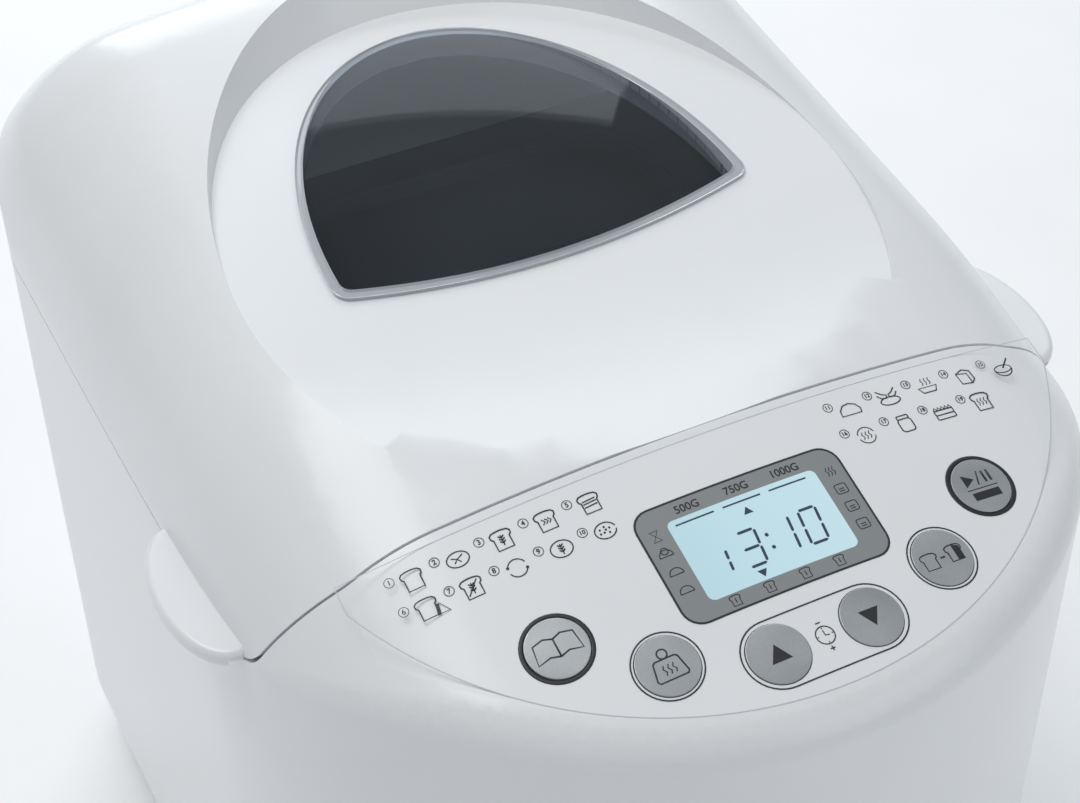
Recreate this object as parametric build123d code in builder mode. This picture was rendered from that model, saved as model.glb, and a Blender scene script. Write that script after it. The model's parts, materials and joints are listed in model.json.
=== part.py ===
from build123d import *
import os
from math import asin, cos, degrees, radians, sin, sqrt, tan

os.makedirs("parts", exist_ok=True)

# Bread machine with a top lid and a sloping control panel.
# Origin at the middle of the footprint on the table, X to the right, Y to the back, Z up.

# ---- Driving dimensions, millimetres and degrees ----

# Outer form: a round nose at the front, flat sides, rounded rear corners
BODY_WIDTH = 267.0
BODY_DEPTH = 349.0
FOOT_HEIGHT = 5.0
WALL = 2.5
BASE_RADIUS = 28.0           # roll of the walls into the underside
REAR_CORNER_RADIUS = 50.0
NOSE_EDGE_RADIUS = 13.0      # rounding from the panel into the nose
CROWN_RADIUS = 719.0         # slow crown across the panel and lid
SHOULDER_RADIUS = 61.0       # roll of the crown into the sides
PANEL_HEIGHT = 260.0         # panel centreline at the lower button row
PANEL_SLOPE = 15.76
BUTTON_ROW_INSET = 31.8      # from the nose back to the lower button row
LID_SLOPE = 6.2
SLOPE_CHANGE_INSET = 137.4   # from the nose back to where the slope eases
SLOPE_CHANGE_RADIUS = 260.0
REAR_TOP_RADIUS = 50.0

# Parting lines
BASE_JOINT_Z = 34.0          # housing meets the base tray
DECK_Z = 235.0               # deck under the lid
LID_GAP = 0.8
SEAM_INSET = 90.3            # from the nose back to the lid's front edge
SEAM_KNEE_Z = 264.0          # where the front edge turns down the sides
SKIRT_INSET = 100.0          # from the nose back to the skirt's front corner
SEAM_BEND_RADIUS = 9.0

# Lid
DISH_WIDTH = 192.0
DISH_LENGTH = 268.0
DISH_CENTRE_INSET = 177.0
DISH_HOLLOW_RADIUS = 780.0   # the dish is slightly hollow across
DISH_FRONT_DROP = 0.6        # dish floor below the panel line at the seam
DISH_EASE_RADIUS = 400.0
DISH_FLOOR_HEIGHT = 279.7    # floor centreline at the window's front edge
DISH_WALL_LEAN = 35.0        # the dish's rear wall leans back
DISH_SIDE_DRAFT = 1.5
WINDOW_HALF_WIDTH = 68.0
WINDOW_LENGTH = 113.5
WINDOW_FRONT_BOW = 7.2
WINDOW_FRONT_INSET = 177.5
WINDOW_CORNER_RADIUS = 5.0
WINDOW_BULGE_RADIUS = 430.0
WINDOW_THICKNESS = 2.5
WINDOW_CROWN = 6.8           # top of the window above the dish floor
TRIM_WIDTH = 3.0
TRIM_PROUD = 1.2
TRIM_DEPTH = 7.0
LID_FRAME_THICKNESS = 2.5
FRAME_OPENING_LENGTH, FRAME_OPENING_DEPTH = 190.0, 152.0
LINER_VIEW_LENGTH, LINER_VIEW_DEPTH = 140.0, 112.0
INNER_GLASS = 3.0
SEAL_LENGTH, SEAL_DEPTH = 211.0, 179.0
SEAL_WIDTH = 3.0
GRIP_REACH = 11.5
GRIP_LENGTH = 56.0
GRIP_CENTRE_INSET = 132.5
GRIP_DROP = 3.0

# Lid hinge
HINGE_FROM_BACK = 14.5
HINGE_ABOVE_DECK = 11.0
HINGE_X = 88.0               # middle of each bracket
PIN_RADIUS = 3.0
BRACKET_THICKNESS = 8.0
BRACKET_REACH = 30.0
ARM_THICKNESS = 6.5
KNUCKLE_RADIUS = 6.5
TROUGH_CLEARANCE = 1.5

# Oven chamber and its floor
CHAMBER_LENGTH = 200.0
CHAMBER_DEPTH = 168.0
CHAMBER_CORNER = 20.0
CHAMBER_FROM_BACK = 134.5    # chamber centre to the back wall's face
SHEET = 1.0
FLANGE_WIDTH = 7.0
CHASSIS_Z = 40.0
CHASSIS_THICKNESS = 1.5
SOCKET_RADIUS = 40.0
SOCKET_WALL = 3.0
SOCKET_HEIGHT = 15.5
SOCKET_FLOOR = 1.5

# Bread pan
PAN_SIDE_GAP = 18.0          # pan floor's edge in from the chamber's sides
PAN_END_GAP = 30.0
PAN_HEIGHT = 118.0
PAN_CORNER = 22.0
PAN_FLOOR_RADIUS = 6.0
PAN_DRAFT = 1.5
PAN_WALL = 1.5
PAN_FLOOR_Z = 78.0
PAN_RIM = 3.0
PAN_RING_RADIUS = 35.5
PAN_BEARING_RADIUS = 9.0
PAN_BEARING_Z = 62.0
PAN_BEARING_TOP_Z = 84.0
HANDLE_REACH = 75.0
HANDLE_WIRE = 2.5
HANDLE_HANG = 25.0
HANDLE_PIN_RADIUS = 1.8
PIVOT_BELOW_RIM = 8.0
EAR_THICKNESS = 3.4
EAR_RADIUS = 6.0
EAR_BORE = 2.4

# Drive
SHAFT_RADIUS = 4.0
RUNNING_GAP = 0.05
BEARING_RADIUS = 10.0
BEARING_Z = 30.0
BIG_PULLEY_RADIUS = 50.0
SMALL_PULLEY_RADIUS = 10.0
PULLEY_Z = 16.0
PULLEY_WIDTH = 12.0
BELT_WIDTH = 7.0
BELT_THICKNESS = 2.0
BELT_CLEARANCE = 0.3
MOTOR_RADIUS = 34.0
MOTOR_HEIGHT = 74.0
MOTOR_FROM_NOSE = 78.0
MOTOR_SHAFT_RADIUS = 3.0
PADDLE_REACH = 44.0
PADDLE_HEIGHT = 24.0
PADDLE_THICKNESS = 5.0
PADDLE_Z = 85.0
PADDLE_HUB_RADIUS = 9.0
PADDLE_HUB_HEIGHT = 20.0
PADDLE_HUB_BORE = 15.0
DOG_RADIUS = 13.0
DOG_HEIGHT = 5.0
DOG_BAR = 6.0
DOG_LUG = 5.0
DOG_GAP = 0.2

# Heating element and sensor
ELEMENT_RADIUS = 3.25
ELEMENT_Z = 74.0
ELEMENT_BEND = 9.0
ELEMENT_WALL_GAP = 5.5
TERMINAL_SPACING = 24.0
TERMINAL_REACH = 14.0
INSULATOR_RADIUS = 6.0
INSULATOR_LENGTH = 12.0
SENSOR_X, SENSOR_Z = 60.0, 130.0
SENSOR_RADIUS = 4.0
SENSOR_REACH = 7.0

# Base, boards and small hardware
BASE_OPENING_INSET = 42.0
BASE_RIM = 6.0
BASE_PLATE = 2.0
FOOT_RADIUS = 9.0
FRONT_FOOT_X, FRONT_FOOT_INSET = 56.0, 84.0
REAR_FOOT_X, REAR_FOOT_INSET = 68.0, 60.0
LEG_RADIUS = 6.0
LEG_X = 88.0
LEG_Y_FROM_CHAMBER = 70.0
FRONT_LEG_X, FRONT_LEG_INSET = 35.0, 54.0
SCREW_RADIUS = 1.5
SCREW_HEAD_RADIUS = 3.4
SCREW_HEAD = 1.8
SCREW_GRIP = 12.0
GROMMET_HEIGHT = 4.0
GROMMET_RADIUS = 5.0
CAPACITOR_X = 68.0
CAPACITOR_RADIUS = 14.0
CAPACITOR_HEIGHT = 46.0
POWER_BOARD_X = 68.0
POWER_BOARD_LENGTH, POWER_BOARD_HEIGHT = 56.0, 72.0
RELAY_SIZE = 15.0
VENT_COUNT = 9
VENT_PITCH = 9.0
VENT_WIDTH = 3.2
VENT_HEIGHT = 42.0
VENT_Z = 110.0
GLAND_X, GLAND_Z = 66.0, 52.0
GLAND_RADIUS = 6.0
GLAND_FLANGE = 9.0
GLAND_RECESS = 1.2
GLAND_BORE = 3.6
RIB_DEPTH = 3.0              # stiffening ribs inside the housing's sides
RIB_WIDTH = 12.0
FIT = 0.3

# Control panel
OVERLAY_THICKNESS = 0.5
OVERLAY_MARGIN = 9.5         # film edge in from the nose
OVERLAY_HALF_WIDTH = 105.6
OVERLAY_SEAM_MARGIN = 2.5
BUTTON_RADIUS = 8.6
BUTTON_GAP = 0.25
BUTTON_TRAVEL = 0.8
BUTTON_PROUD = 0.4
BUTTON_FLANGE = 1.4
BUTTON_FLANGE_THICKNESS = 1.0
BUTTON_STEM_RADIUS = 2.0
BUTTON_UNDERSIDE_GAP = 0.4
MENU_U, MENU_V = 64.8, 16.5
WEIGHT_U, WEIGHT_V = 41.6, 0.0
ARROW_U, ARROW_V = 14.05, -8.7
DISPLAY_WIDTH, DISPLAY_HEIGHT = 45.5, 25.5
DISPLAY_V = 24.2
DISPLAY_CORNER = 2.0
LENS_THICKNESS = 2.0
LCD_WIDTH, LCD_HEIGHT = 54.0, 35.0
LCD_THICKNESS = 4.0
BACKLIGHT_THICKNESS = 2.0
BOARD_DEPTH = 17.0           # below the panel surface
BOARD_V = 12.0
BOARD_WIDTH, BOARD_LENGTH = 168.0, 62.0
BOARD_THICKNESS = 1.6
BOARD_NOSE_GAP = 9.0
BOSS_X, BOSS_Y = 50.0, 24.0
BOSS_RADIUS = 3.0
BOARD_SCREW_RADIUS = 1.1
SWITCH_SIZE = 6.0
SWITCH_HEIGHT = 3.5
SWITCH_TIP = 1.5

# ---- Places that follow from the sizes above ----
NOSE_Y = -BODY_DEPTH / 2
BACK_Y = BODY_DEPTH / 2
NOSE_CENTRE_Y = NOSE_Y + BODY_WIDTH / 2
BUTTON_ROW_Y = NOSE_Y + BUTTON_ROW_INSET
SLOPE_CHANGE_Y = NOSE_Y + SLOPE_CHANGE_INSET
SEAM_Y = NOSE_Y + SEAM_INSET
SKIRT_Y = NOSE_Y + SKIRT_INSET
CHAMBER_Y = BACK_Y - CHAMBER_FROM_BACK
HINGE_Y = BACK_Y - HINGE_FROM_BACK
HINGE_Z = DECK_Z + HINGE_ABOVE_DECK
LID_BOTTOM_Z = DECK_Z + LID_GAP
LID_FRAME_TOP_Z = LID_BOTTOM_Z + LID_FRAME_THICKNESS
CHASSIS_TOP_Z = CHASSIS_Z + CHASSIS_THICKNESS
PAN_LENGTH = CHAMBER_LENGTH - 2 * PAN_SIDE_GAP
PAN_DEPTH = CHAMBER_DEPTH - 2 * PAN_END_GAP
CHAMBER_FLOOR_Z = CHASSIS_TOP_Z + SHEET
SOCKET_FLOOR_Z = CHAMBER_FLOOR_Z + SOCKET_FLOOR
BASE_TOP_Z = FOOT_HEIGHT + WALL + BASE_PLATE
MOTOR_Y = NOSE_Y + MOTOR_FROM_NOSE
MOTOR_Z = CHASSIS_TOP_Z + GROMMET_HEIGHT
TROUGH_RADIUS = sqrt(HINGE_FROM_BACK**2 + (HINGE_ABOVE_DECK - LID_GAP) ** 2) + TROUGH_CLEARANCE
SPINDLE = (0, CHAMBER_Y)
HIGH = 500.0


def panel_height(y):
    """Height of the panel's centreline at y."""
    return PANEL_HEIGHT + (y - BUTTON_ROW_Y) * tan(radians(PANEL_SLOPE))


def lid_height(y):
    """Height of the lid's undished centreline at y, behind the change of slope."""
    return panel_height(SLOPE_CHANGE_Y) + (y - SLOPE_CHANGE_Y) * tan(radians(LID_SLOPE))


# ---- Shared forms, from which the casings are cut ----
def footprint(z, inset):
    """The plan outline: half-round nose, flat sides, rounded rear corners."""
    half = BODY_WIDTH / 2 - inset
    back = BACK_Y - inset
    with BuildSketch(Plane.XY.offset(z)) as outline:
        with BuildLine():
            nose = CenterArc((0, NOSE_CENTRE_Y), half, 180, 180)
            Polyline(nose @ 1, (half, back), (-half, back), nose @ 0)
        make_face()
        fillet(outline.vertices().group_by(Axis.Y)[-1], REAR_CORNER_RADIUS - inset)
    return outline.sketch


def roof_path():
    """The centreline of the panel and lid, from ahead of the nose to down the back."""
    start_y = NOSE_Y - WALL
    end_y = BACK_Y + 2 * WALL
    with BuildLine() as line:
        FilletPolyline(
            (0, start_y, panel_height(start_y)),
            (0, SLOPE_CHANGE_Y, panel_height(SLOPE_CHANGE_Y)),
            (0, BACK_Y, lid_height(BACK_Y)),
            (0, end_y, lid_height(BACK_Y) - 2 * REAR_TOP_RADIUS),
            radius=[SLOPE_CHANGE_RADIUS, REAR_TOP_RADIUS],
        )
    return line.line


def housing_form(inset):
    """The whole machine, lid and casing together, drawn in by inset all round."""
    crown = CROWN_RADIUS - inset
    shoulder = SHOULDER_RADIUS - inset
    half = BODY_WIDTH / 2 - inset
    start_y = NOSE_Y - WALL
    crown_z = panel_height(start_y) - CROWN_RADIUS
    shoulder_x = half - shoulder
    lean = asin(shoulder_x / (crown - shoulder))
    shoulder_z = crown_z + (crown - shoulder) * cos(lean)
    edge = Vector(crown * sin(lean), crown_z + crown * cos(lean))
    with BuildPart() as roof:
        with BuildSketch(Plane.XZ.offset(-start_y)):
            with BuildLine():
                ThreePointArc((-edge.X, edge.Y), (0, crown_z + crown), (edge.X, edge.Y))
                CenterArc((shoulder_x, shoulder_z), shoulder, 0, 90 - degrees(lean))
                CenterArc((-shoulder_x, shoulder_z), shoulder, 90 + degrees(lean), 90 - degrees(lean))
                Polyline(
                    (half, shoulder_z), (half, -HIGH), (-half, -HIGH), (-half, shoulder_z)
                )
            make_face()
        sweep(path=roof_path(), normal=(0, 1, 0))
    with BuildPart() as form:
        add(footprint(FOOT_HEIGHT + inset, inset))
        extrude(amount=HIGH)
        fillet(form.edges().group_by(Axis.Z)[0], BASE_RADIUS - inset)
        add(roof.part, mode=Mode.INTERSECT)
        nose_top = [
            edge
            for edge in form.edges()
            if edge.center().Z > PANEL_HEIGHT / 2
            and (edge @ 0.5).Y < NOSE_CENTRE_Y
            and (edge @ 0.5 - Vector(0, NOSE_CENTRE_Y, (edge @ 0.5).Z)).length > half - FIT
        ]
        fillet(nose_top, NOSE_EDGE_RADIUS - inset)
    return form.part



def above_parting(seam_y, skirt_y, floor_z):
    """Everything behind the seam and above the skirt line."""
    with BuildPart() as zone:
        with BuildSketch(Plane.YZ):
            with BuildLine():
                seam = FilletPolyline(
                    (seam_y, HIGH), (seam_y, SEAM_KNEE_Z), (skirt_y, floor_z), (BACK_Y + HIGH, floor_z),
                    radius=SEAM_BEND_RADIUS,
                )
                Polyline(seam @ 1, (BACK_Y + HIGH, HIGH), seam @ 0)
            make_face()
        extrude(amount=BODY_WIDTH, both=True)
    return zone.part


def dish(depth):
    """The hollow in the lid's top around the window, lowered by depth."""
    front_z = panel_height(SEAM_Y) - DISH_FRONT_DROP - depth
    floor_y = NOSE_Y + WINDOW_FRONT_INSET
    floor_z = DISH_FLOOR_HEIGHT - depth
    ease_y = floor_y - DISH_CENTRE_INSET / 4
    rise = tan(radians(LID_SLOPE))
    half = DISH_WIDTH / 2 + depth
    half_length = DISH_LENGTH / 2 + depth
    edge_z = front_z + half**2 / 2 / DISH_HOLLOW_RADIUS
    oval_low = front_z - 2 * WALL
    oval_high = lid_height(BACK_Y) - depth
    run_out = (oval_high - oval_low) * tan(radians(DISH_WALL_LEAN))
    with BuildPart() as oval:
        with BuildSketch(Plane.XY.offset(oval_low)):
            with Locations((0, NOSE_Y + DISH_CENTRE_INSET)):
                Ellipse(half - DISH_SIDE_DRAFT, half_length - run_out)
        with BuildSketch(Plane.XY.offset(oval_high)):
            with Locations((0, NOSE_Y + DISH_CENTRE_INSET)):
                Ellipse(half + DISH_SIDE_DRAFT, half_length)
        loft(ruled=True)
    with BuildPart() as hollow:
        with BuildSketch(Plane.XZ.offset(-SEAM_Y)):
            with BuildLine():
                floor = ThreePointArc((-half, edge_z), (0, front_z), (half, edge_z))
                Polyline(floor @ 1, (half, HIGH), (-half, HIGH), floor @ 0)
            make_face()
        with BuildLine():
            FilletPolyline(
                (0, SEAM_Y, front_z),
                (0, ease_y, floor_z - (floor_y - ease_y) * rise),
                (0, BACK_Y, floor_z + (BACK_Y - floor_y) * rise),
                radius=DISH_EASE_RADIUS,
            )
        sweep(normal=(0, 1, 0))
        add(oval.part, mode=Mode.INTERSECT)
    return hollow.part


def window_outline(z, inset):
    """The window's plan shape: half an oval with a bowed front edge."""
    front = NOSE_Y + WINDOW_FRONT_INSET + inset
    half = WINDOW_HALF_WIDTH - inset
    length = WINDOW_LENGTH - WINDOW_FRONT_BOW - 2 * inset
    with BuildSketch(Plane.XY.offset(z)) as outline:
        with BuildLine():
            EllipticalCenterArc((0, front), half, length, start_angle=0, arc_size=180)
            ThreePointArc((-half, front), (0, front - WINDOW_FRONT_BOW), (half, front))
        make_face()
        fillet(outline.vertices(), WINDOW_CORNER_RADIUS - inset / 2)
    return outline.sketch


def rounded_box(length, depth, corner, low, high, y):
    """An upright block with rounded corners, centred on X = 0."""
    with BuildPart() as block:
        with BuildSketch(Plane.XY.offset(low)):
            with Locations((0, y)):
                RectangleRounded(length, depth, corner)
        extrude(amount=high - low)
    return block.part


def post(x, y, radius, low, high):
    """An upright round post."""
    with BuildPart() as column:
        with BuildSketch(Plane.XY.offset(low)):
            with Locations((x, y)):
                Circle(radius)
        extrude(amount=high - low)
    return column.part


def cross_bar(x0, x1, y, z, radius):
    """A round bar along X."""
    with BuildPart() as bar:
        with BuildSketch(Plane(origin=(x0, y, z), x_dir=(0, 1, 0), z_dir=(1, 0, 0))):
            Circle(radius)
        extrude(amount=x1 - x0)
    return bar.part


def panel_plane(u, v, depth=0):
    """The plane of the panel's surface at u across and v up the slope, depth below it."""
    y = BUTTON_ROW_Y + v * cos(radians(PANEL_SLOPE))
    fall = sqrt(CROWN_RADIUS**2 - u**2)
    normal = Vector(u / fall, -tan(radians(PANEL_SLOPE)), 1).normalized()
    surface = Vector(u, y, panel_height(y) - CROWN_RADIUS + fall)
    return Plane(
        origin=surface - normal * depth, x_dir=(normal.Z, 0, -normal.X), z_dir=normal
    )


def write(piece, name):
    """Labels one finished piece and writes it."""
    piece.part.label = name
    export_step(piece.part, f"parts/{name}.step")


outer = housing_form(0)
inner = housing_form(WALL)
BUTTONS = {
    "menu": (-MENU_U, MENU_V),
    "start": (MENU_U, MENU_V),
    "weight": (-WEIGHT_U, WEIGHT_V),
    "crust": (WEIGHT_U, WEIGHT_V),
    "up": (-ARROW_U, ARROW_V),
    "down": (ARROW_U, ARROW_V),
}

# ---- Casing ----
leg_ys = (CHAMBER_Y - LEG_Y_FROM_CHAMBER, CHAMBER_Y + LEG_Y_FROM_CHAMBER)
leg_places = [(x, y) for x in (-LEG_X, LEG_X) for y in leg_ys]
leg_places += [(x, NOSE_Y + FRONT_LEG_INSET) for x in (-FRONT_LEG_X, FRONT_LEG_X)]
foot_places = [(x, NOSE_Y + FRONT_FOOT_INSET) for x in (-FRONT_FOOT_X, FRONT_FOOT_X)]
foot_places += [(x, BACK_Y - REAR_FOOT_INSET) for x in (-REAR_FOOT_X, REAR_FOOT_X)]

# Base tray: the rolled bottom edge, open underneath
with BuildPart() as base_tray:
    add(outer)
    add(inner, mode=Mode.SUBTRACT)
    with BuildSketch(Plane.XY.offset(BASE_JOINT_Z)):
        Rectangle(2 * BODY_WIDTH, 2 * BODY_DEPTH)
    extrude(amount=HIGH, mode=Mode.SUBTRACT)
    add(footprint(0, BASE_OPENING_INSET))
    extrude(amount=FOOT_HEIGHT + WALL, mode=Mode.SUBTRACT)
write(base_tray, "base_tray")

# Bottom plate, laid on the casing's inner rim
with BuildPart() as base_plate:
    add(footprint(FOOT_HEIGHT + WALL, BASE_OPENING_INSET - BASE_RIM))
    extrude(amount=BASE_PLATE)
    with Locations(*[(x, y, FOOT_HEIGHT + WALL) for x, y in leg_places]):
        Hole(SCREW_RADIUS, depth=2 * WALL)
write(base_plate, "base_plate")

with BuildPart() as feet:
    with BuildSketch():
        with Locations(*foot_places):
            Circle(FOOT_RADIUS)
    extrude(amount=FOOT_HEIGHT + WALL)
    chamfer(feet.edges().group_by(Axis.Z)[0], 1)
write(feet, "feet")

# Cord gland in the back wall, with a nut-like collar inside
with BuildPart() as cord_gland:
    with BuildSketch(Plane.XZ.offset(-BACK_Y)):
        with Locations((GLAND_X, GLAND_Z)):
            Circle(GLAND_FLANGE)
    extrude(amount=GLAND_RECESS)
    with BuildSketch(Plane.XZ.offset(-BACK_Y)):
        with Locations((GLAND_X, GLAND_Z)):
            Circle(GLAND_RADIUS)
    extrude(amount=4 * WALL)
    with BuildSketch(Plane.XZ.offset(-BACK_Y + WALL)):
        with Locations((GLAND_X, GLAND_Z)):
            Circle(GLAND_FLANGE)
    extrude(amount=WALL)
    with BuildSketch(Plane.XZ.offset(-BACK_Y)):
        with Locations((GLAND_X, GLAND_Z)):
            Circle(GLAND_BORE)
    extrude(amount=4 * WALL, mode=Mode.SUBTRACT)
write(cord_gland, "cord_gland")

# Graphic film let into the panel
with BuildPart() as film_blank:
    with BuildSketch():
        with BuildLine():
            radius = BODY_WIDTH / 2 - OVERLAY_MARGIN
            side_y = NOSE_CENTRE_Y - sqrt(radius**2 - OVERLAY_HALF_WIDTH**2)
            top_y = SEAM_Y - OVERLAY_SEAM_MARGIN
            film_edge = ThreePointArc(
                (-OVERLAY_HALF_WIDTH, side_y), (0, NOSE_CENTRE_Y - radius), (OVERLAY_HALF_WIDTH, side_y)
            )
            Polyline(
                film_edge @ 1, (OVERLAY_HALF_WIDTH, top_y), (-OVERLAY_HALF_WIDTH, top_y), film_edge @ 0
            )
        make_face()
    extrude(amount=HIGH)
    add(outer, mode=Mode.INTERSECT)
    add(Pos(0, 0, -OVERLAY_THICKNESS) * outer, mode=Mode.SUBTRACT)

with BuildPart() as panel_openings:
    for u, v in BUTTONS.values():
        with BuildSketch(panel_plane(u, v, -WALL)):
            Circle(BUTTON_RADIUS + BUTTON_GAP)
        extrude(amount=-4 * WALL)
    with BuildSketch(panel_plane(0, DISPLAY_V, -WALL)):
        RectangleRounded(DISPLAY_WIDTH, DISPLAY_HEIGHT, DISPLAY_CORNER)
    extrude(amount=-4 * WALL)

with BuildPart() as control_overlay:
    add(film_blank.part)
    add(panel_openings.part, mode=Mode.SUBTRACT)
write(control_overlay, "control_overlay")

# Housing: control panel, nose, sides, back, the deck under the lid and the trough behind it
board_plane = panel_plane(0, BOARD_V, BOARD_DEPTH)
boss_places = [(x, y) for x in (-BOSS_X, BOSS_X) for y in (-BOSS_Y, BOSS_Y)]
boss_height = BOARD_DEPTH - WALL / 2 - BOSS_X**2 / 2 / CROWN_RADIUS
with BuildPart() as room:
    add(inner)
    add(above_parting(SEAM_Y - WALL, SKIRT_Y - WALL, DECK_Z - WALL), mode=Mode.SUBTRACT)
    add(
        cross_bar(-BODY_WIDTH, BODY_WIDTH, HINGE_Y, HINGE_Z, TROUGH_RADIUS + WALL),
        mode=Mode.SUBTRACT,
    )
    with BuildSketch(Plane.XY.offset(BASE_JOINT_Z + WALL)):
        for side in (-1, 1):
            with Locations((side * BODY_WIDTH / 2, NOSE_CENTRE_Y)):
                Rectangle(2 * (WALL + RIB_DEPTH), RIB_WIDTH)
    extrude(amount=HIGH, mode=Mode.SUBTRACT)

with BuildPart() as housing:
    add(outer)
    add(above_parting(SEAM_Y, SKIRT_Y, DECK_Z), mode=Mode.SUBTRACT)
    with BuildSketch():
        Rectangle(2 * BODY_WIDTH, 2 * BODY_DEPTH)
    extrude(amount=BASE_JOINT_Z, mode=Mode.SUBTRACT)
    add(room.part, mode=Mode.SUBTRACT)
    with BuildSketch(board_plane):
        with Locations(*boss_places):
            Circle(BOSS_RADIUS)
    extrude(amount=boss_height)
    with BuildSketch(board_plane):
        with Locations(*boss_places):
            Circle(BOARD_SCREW_RADIUS)
    extrude(amount=BOARD_DEPTH / 2, mode=Mode.SUBTRACT)
    add(cross_bar(-BODY_WIDTH, BODY_WIDTH, HINGE_Y, HINGE_Z, TROUGH_RADIUS), mode=Mode.SUBTRACT)
    add(
        rounded_box(
            CHAMBER_LENGTH + 4 * SHEET, CHAMBER_DEPTH + 4 * SHEET, CHAMBER_CORNER + 2 * SHEET,
            DECK_Z - 2 * WALL, HIGH, CHAMBER_Y,
        ),
        mode=Mode.SUBTRACT,
    )
    add(panel_openings.part, mode=Mode.SUBTRACT)
    add(film_blank.part, mode=Mode.SUBTRACT)
    with BuildSketch(Plane.XZ.offset(-BACK_Y - WALL)):
        with Locations((0, VENT_Z)):
            with GridLocations(VENT_PITCH, 0, VENT_COUNT, 1):
                SlotOverall(VENT_HEIGHT, VENT_WIDTH, rotation=90)
        with Locations((GLAND_X, GLAND_Z)):
            Circle(GLAND_RADIUS)
    extrude(amount=3 * WALL, mode=Mode.SUBTRACT)
    with BuildSketch(Plane.XZ.offset(-BACK_Y)):
        with Locations((GLAND_X, GLAND_Z)):
            Circle(GLAND_FLANGE)
    extrude(amount=GLAND_RECESS, mode=Mode.SUBTRACT)
write(housing, "housing")

# ---- Control panel ----
# Button caps: each slides in its own hole, held by a flange under the panel
cap_depth = WALL + BUTTON_UNDERSIDE_GAP
for name, (u, v) in BUTTONS.items():
    crown_fall = u**2 / 2 / CROWN_RADIUS
    stem_end = BOARD_DEPTH - crown_fall - SWITCH_HEIGHT - SWITCH_TIP - 2 * BUTTON_TRAVEL
    with BuildPart() as button:
        with BuildSketch(panel_plane(u, v, -BUTTON_PROUD)):
            Circle(BUTTON_RADIUS)
        extrude(amount=-BUTTON_PROUD - cap_depth)
        fillet(button.faces().sort_by(Axis.Z)[-1].edges(), BUTTON_PROUD / 2)
        with BuildSketch(panel_plane(u, v, cap_depth)):
            Circle(BUTTON_RADIUS + BUTTON_FLANGE)
        extrude(amount=-BUTTON_FLANGE_THICKNESS)
        with BuildSketch(panel_plane(u, v, cap_depth)):
            Circle(BUTTON_STEM_RADIUS)
        extrude(amount=cap_depth - stem_end)
    write(button, f"button_{name}")

# Control board, trimmed to the nose, with one switch under each cap
with BuildPart() as control_board:
    with BuildSketch(board_plane):
        RectangleRounded(BOARD_WIDTH, BOARD_LENGTH, 3)
        with Locations(*boss_places):
            Circle(BOARD_SCREW_RADIUS, mode=Mode.SUBTRACT)
    extrude(amount=-BOARD_THICKNESS)
    add(extrude(footprint(0, BOARD_NOSE_GAP), amount=HIGH, mode=Mode.PRIVATE), mode=Mode.INTERSECT)
write(control_board, "control_board")

switch_places = []
for u, v in BUTTONS.values():
    cap_plane = panel_plane(u, v)
    drop = BOARD_DEPTH - u**2 / 2 / CROWN_RADIUS
    spot = board_plane.to_local_coords(cap_plane.origin - cap_plane.z_dir * drop)
    switch_places.append((spot.X, spot.Y))
with BuildPart() as tact_switches:
    with BuildSketch(board_plane):
        with Locations(*switch_places):
            Rectangle(SWITCH_SIZE, SWITCH_SIZE)
    extrude(amount=SWITCH_HEIGHT)
    with BuildSketch(board_plane):
        with Locations(*switch_places):
            Circle(BUTTON_STEM_RADIUS)
    extrude(amount=SWITCH_HEIGHT + SWITCH_TIP)
write(tact_switches, "tact_switches")

with BuildPart() as board_screws:
    with BuildSketch(board_plane.offset(-BOARD_THICKNESS)):
        with Locations(*boss_places):
            Circle(2 * BOARD_SCREW_RADIUS)
    extrude(amount=-BOARD_THICKNESS)
    with BuildSketch(board_plane.offset(-BOARD_THICKNESS)):
        with Locations(*boss_places):
            Circle(BOARD_SCREW_RADIUS)
    extrude(amount=BOARD_THICKNESS + BOARD_DEPTH / 2)
write(board_screws, "board_screws")

# Display: clear lens in the panel, liquid crystal cell and backlight behind it, on a frame
lens_top = OVERLAY_THICKNESS / 2
lcd_top = WALL + 2 * FIT
backlight_top = lcd_top + LCD_THICKNESS
frame_top = backlight_top + BACKLIGHT_THICKNESS
with BuildPart() as display_lens:
    with BuildSketch(panel_plane(0, DISPLAY_V, lens_top)):
        RectangleRounded(DISPLAY_WIDTH, DISPLAY_HEIGHT, DISPLAY_CORNER)
    extrude(amount=-LENS_THICKNESS)
write(display_lens, "display_lens")

with BuildPart() as display_cell:
    with BuildSketch(panel_plane(0, DISPLAY_V, lcd_top)):
        Rectangle(LCD_WIDTH, LCD_HEIGHT)
    extrude(amount=-LCD_THICKNESS)
write(display_cell, "display_cell")

with BuildPart() as display_backlight:
    with BuildSketch(panel_plane(0, DISPLAY_V, backlight_top)):
        Rectangle(LCD_WIDTH, LCD_HEIGHT)
    extrude(amount=-BACKLIGHT_THICKNESS)
write(display_backlight, "display_backlight")

with BuildPart() as display_frame:
    with BuildSketch(panel_plane(0, DISPLAY_V, frame_top)):
        Rectangle(LCD_WIDTH, LCD_HEIGHT)
        Rectangle(LCD_WIDTH - 2 * WALL, LCD_HEIGHT - 2 * WALL, mode=Mode.SUBTRACT)
    extrude(amount=frame_top - BOARD_DEPTH)
write(display_frame, "display_frame")

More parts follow.
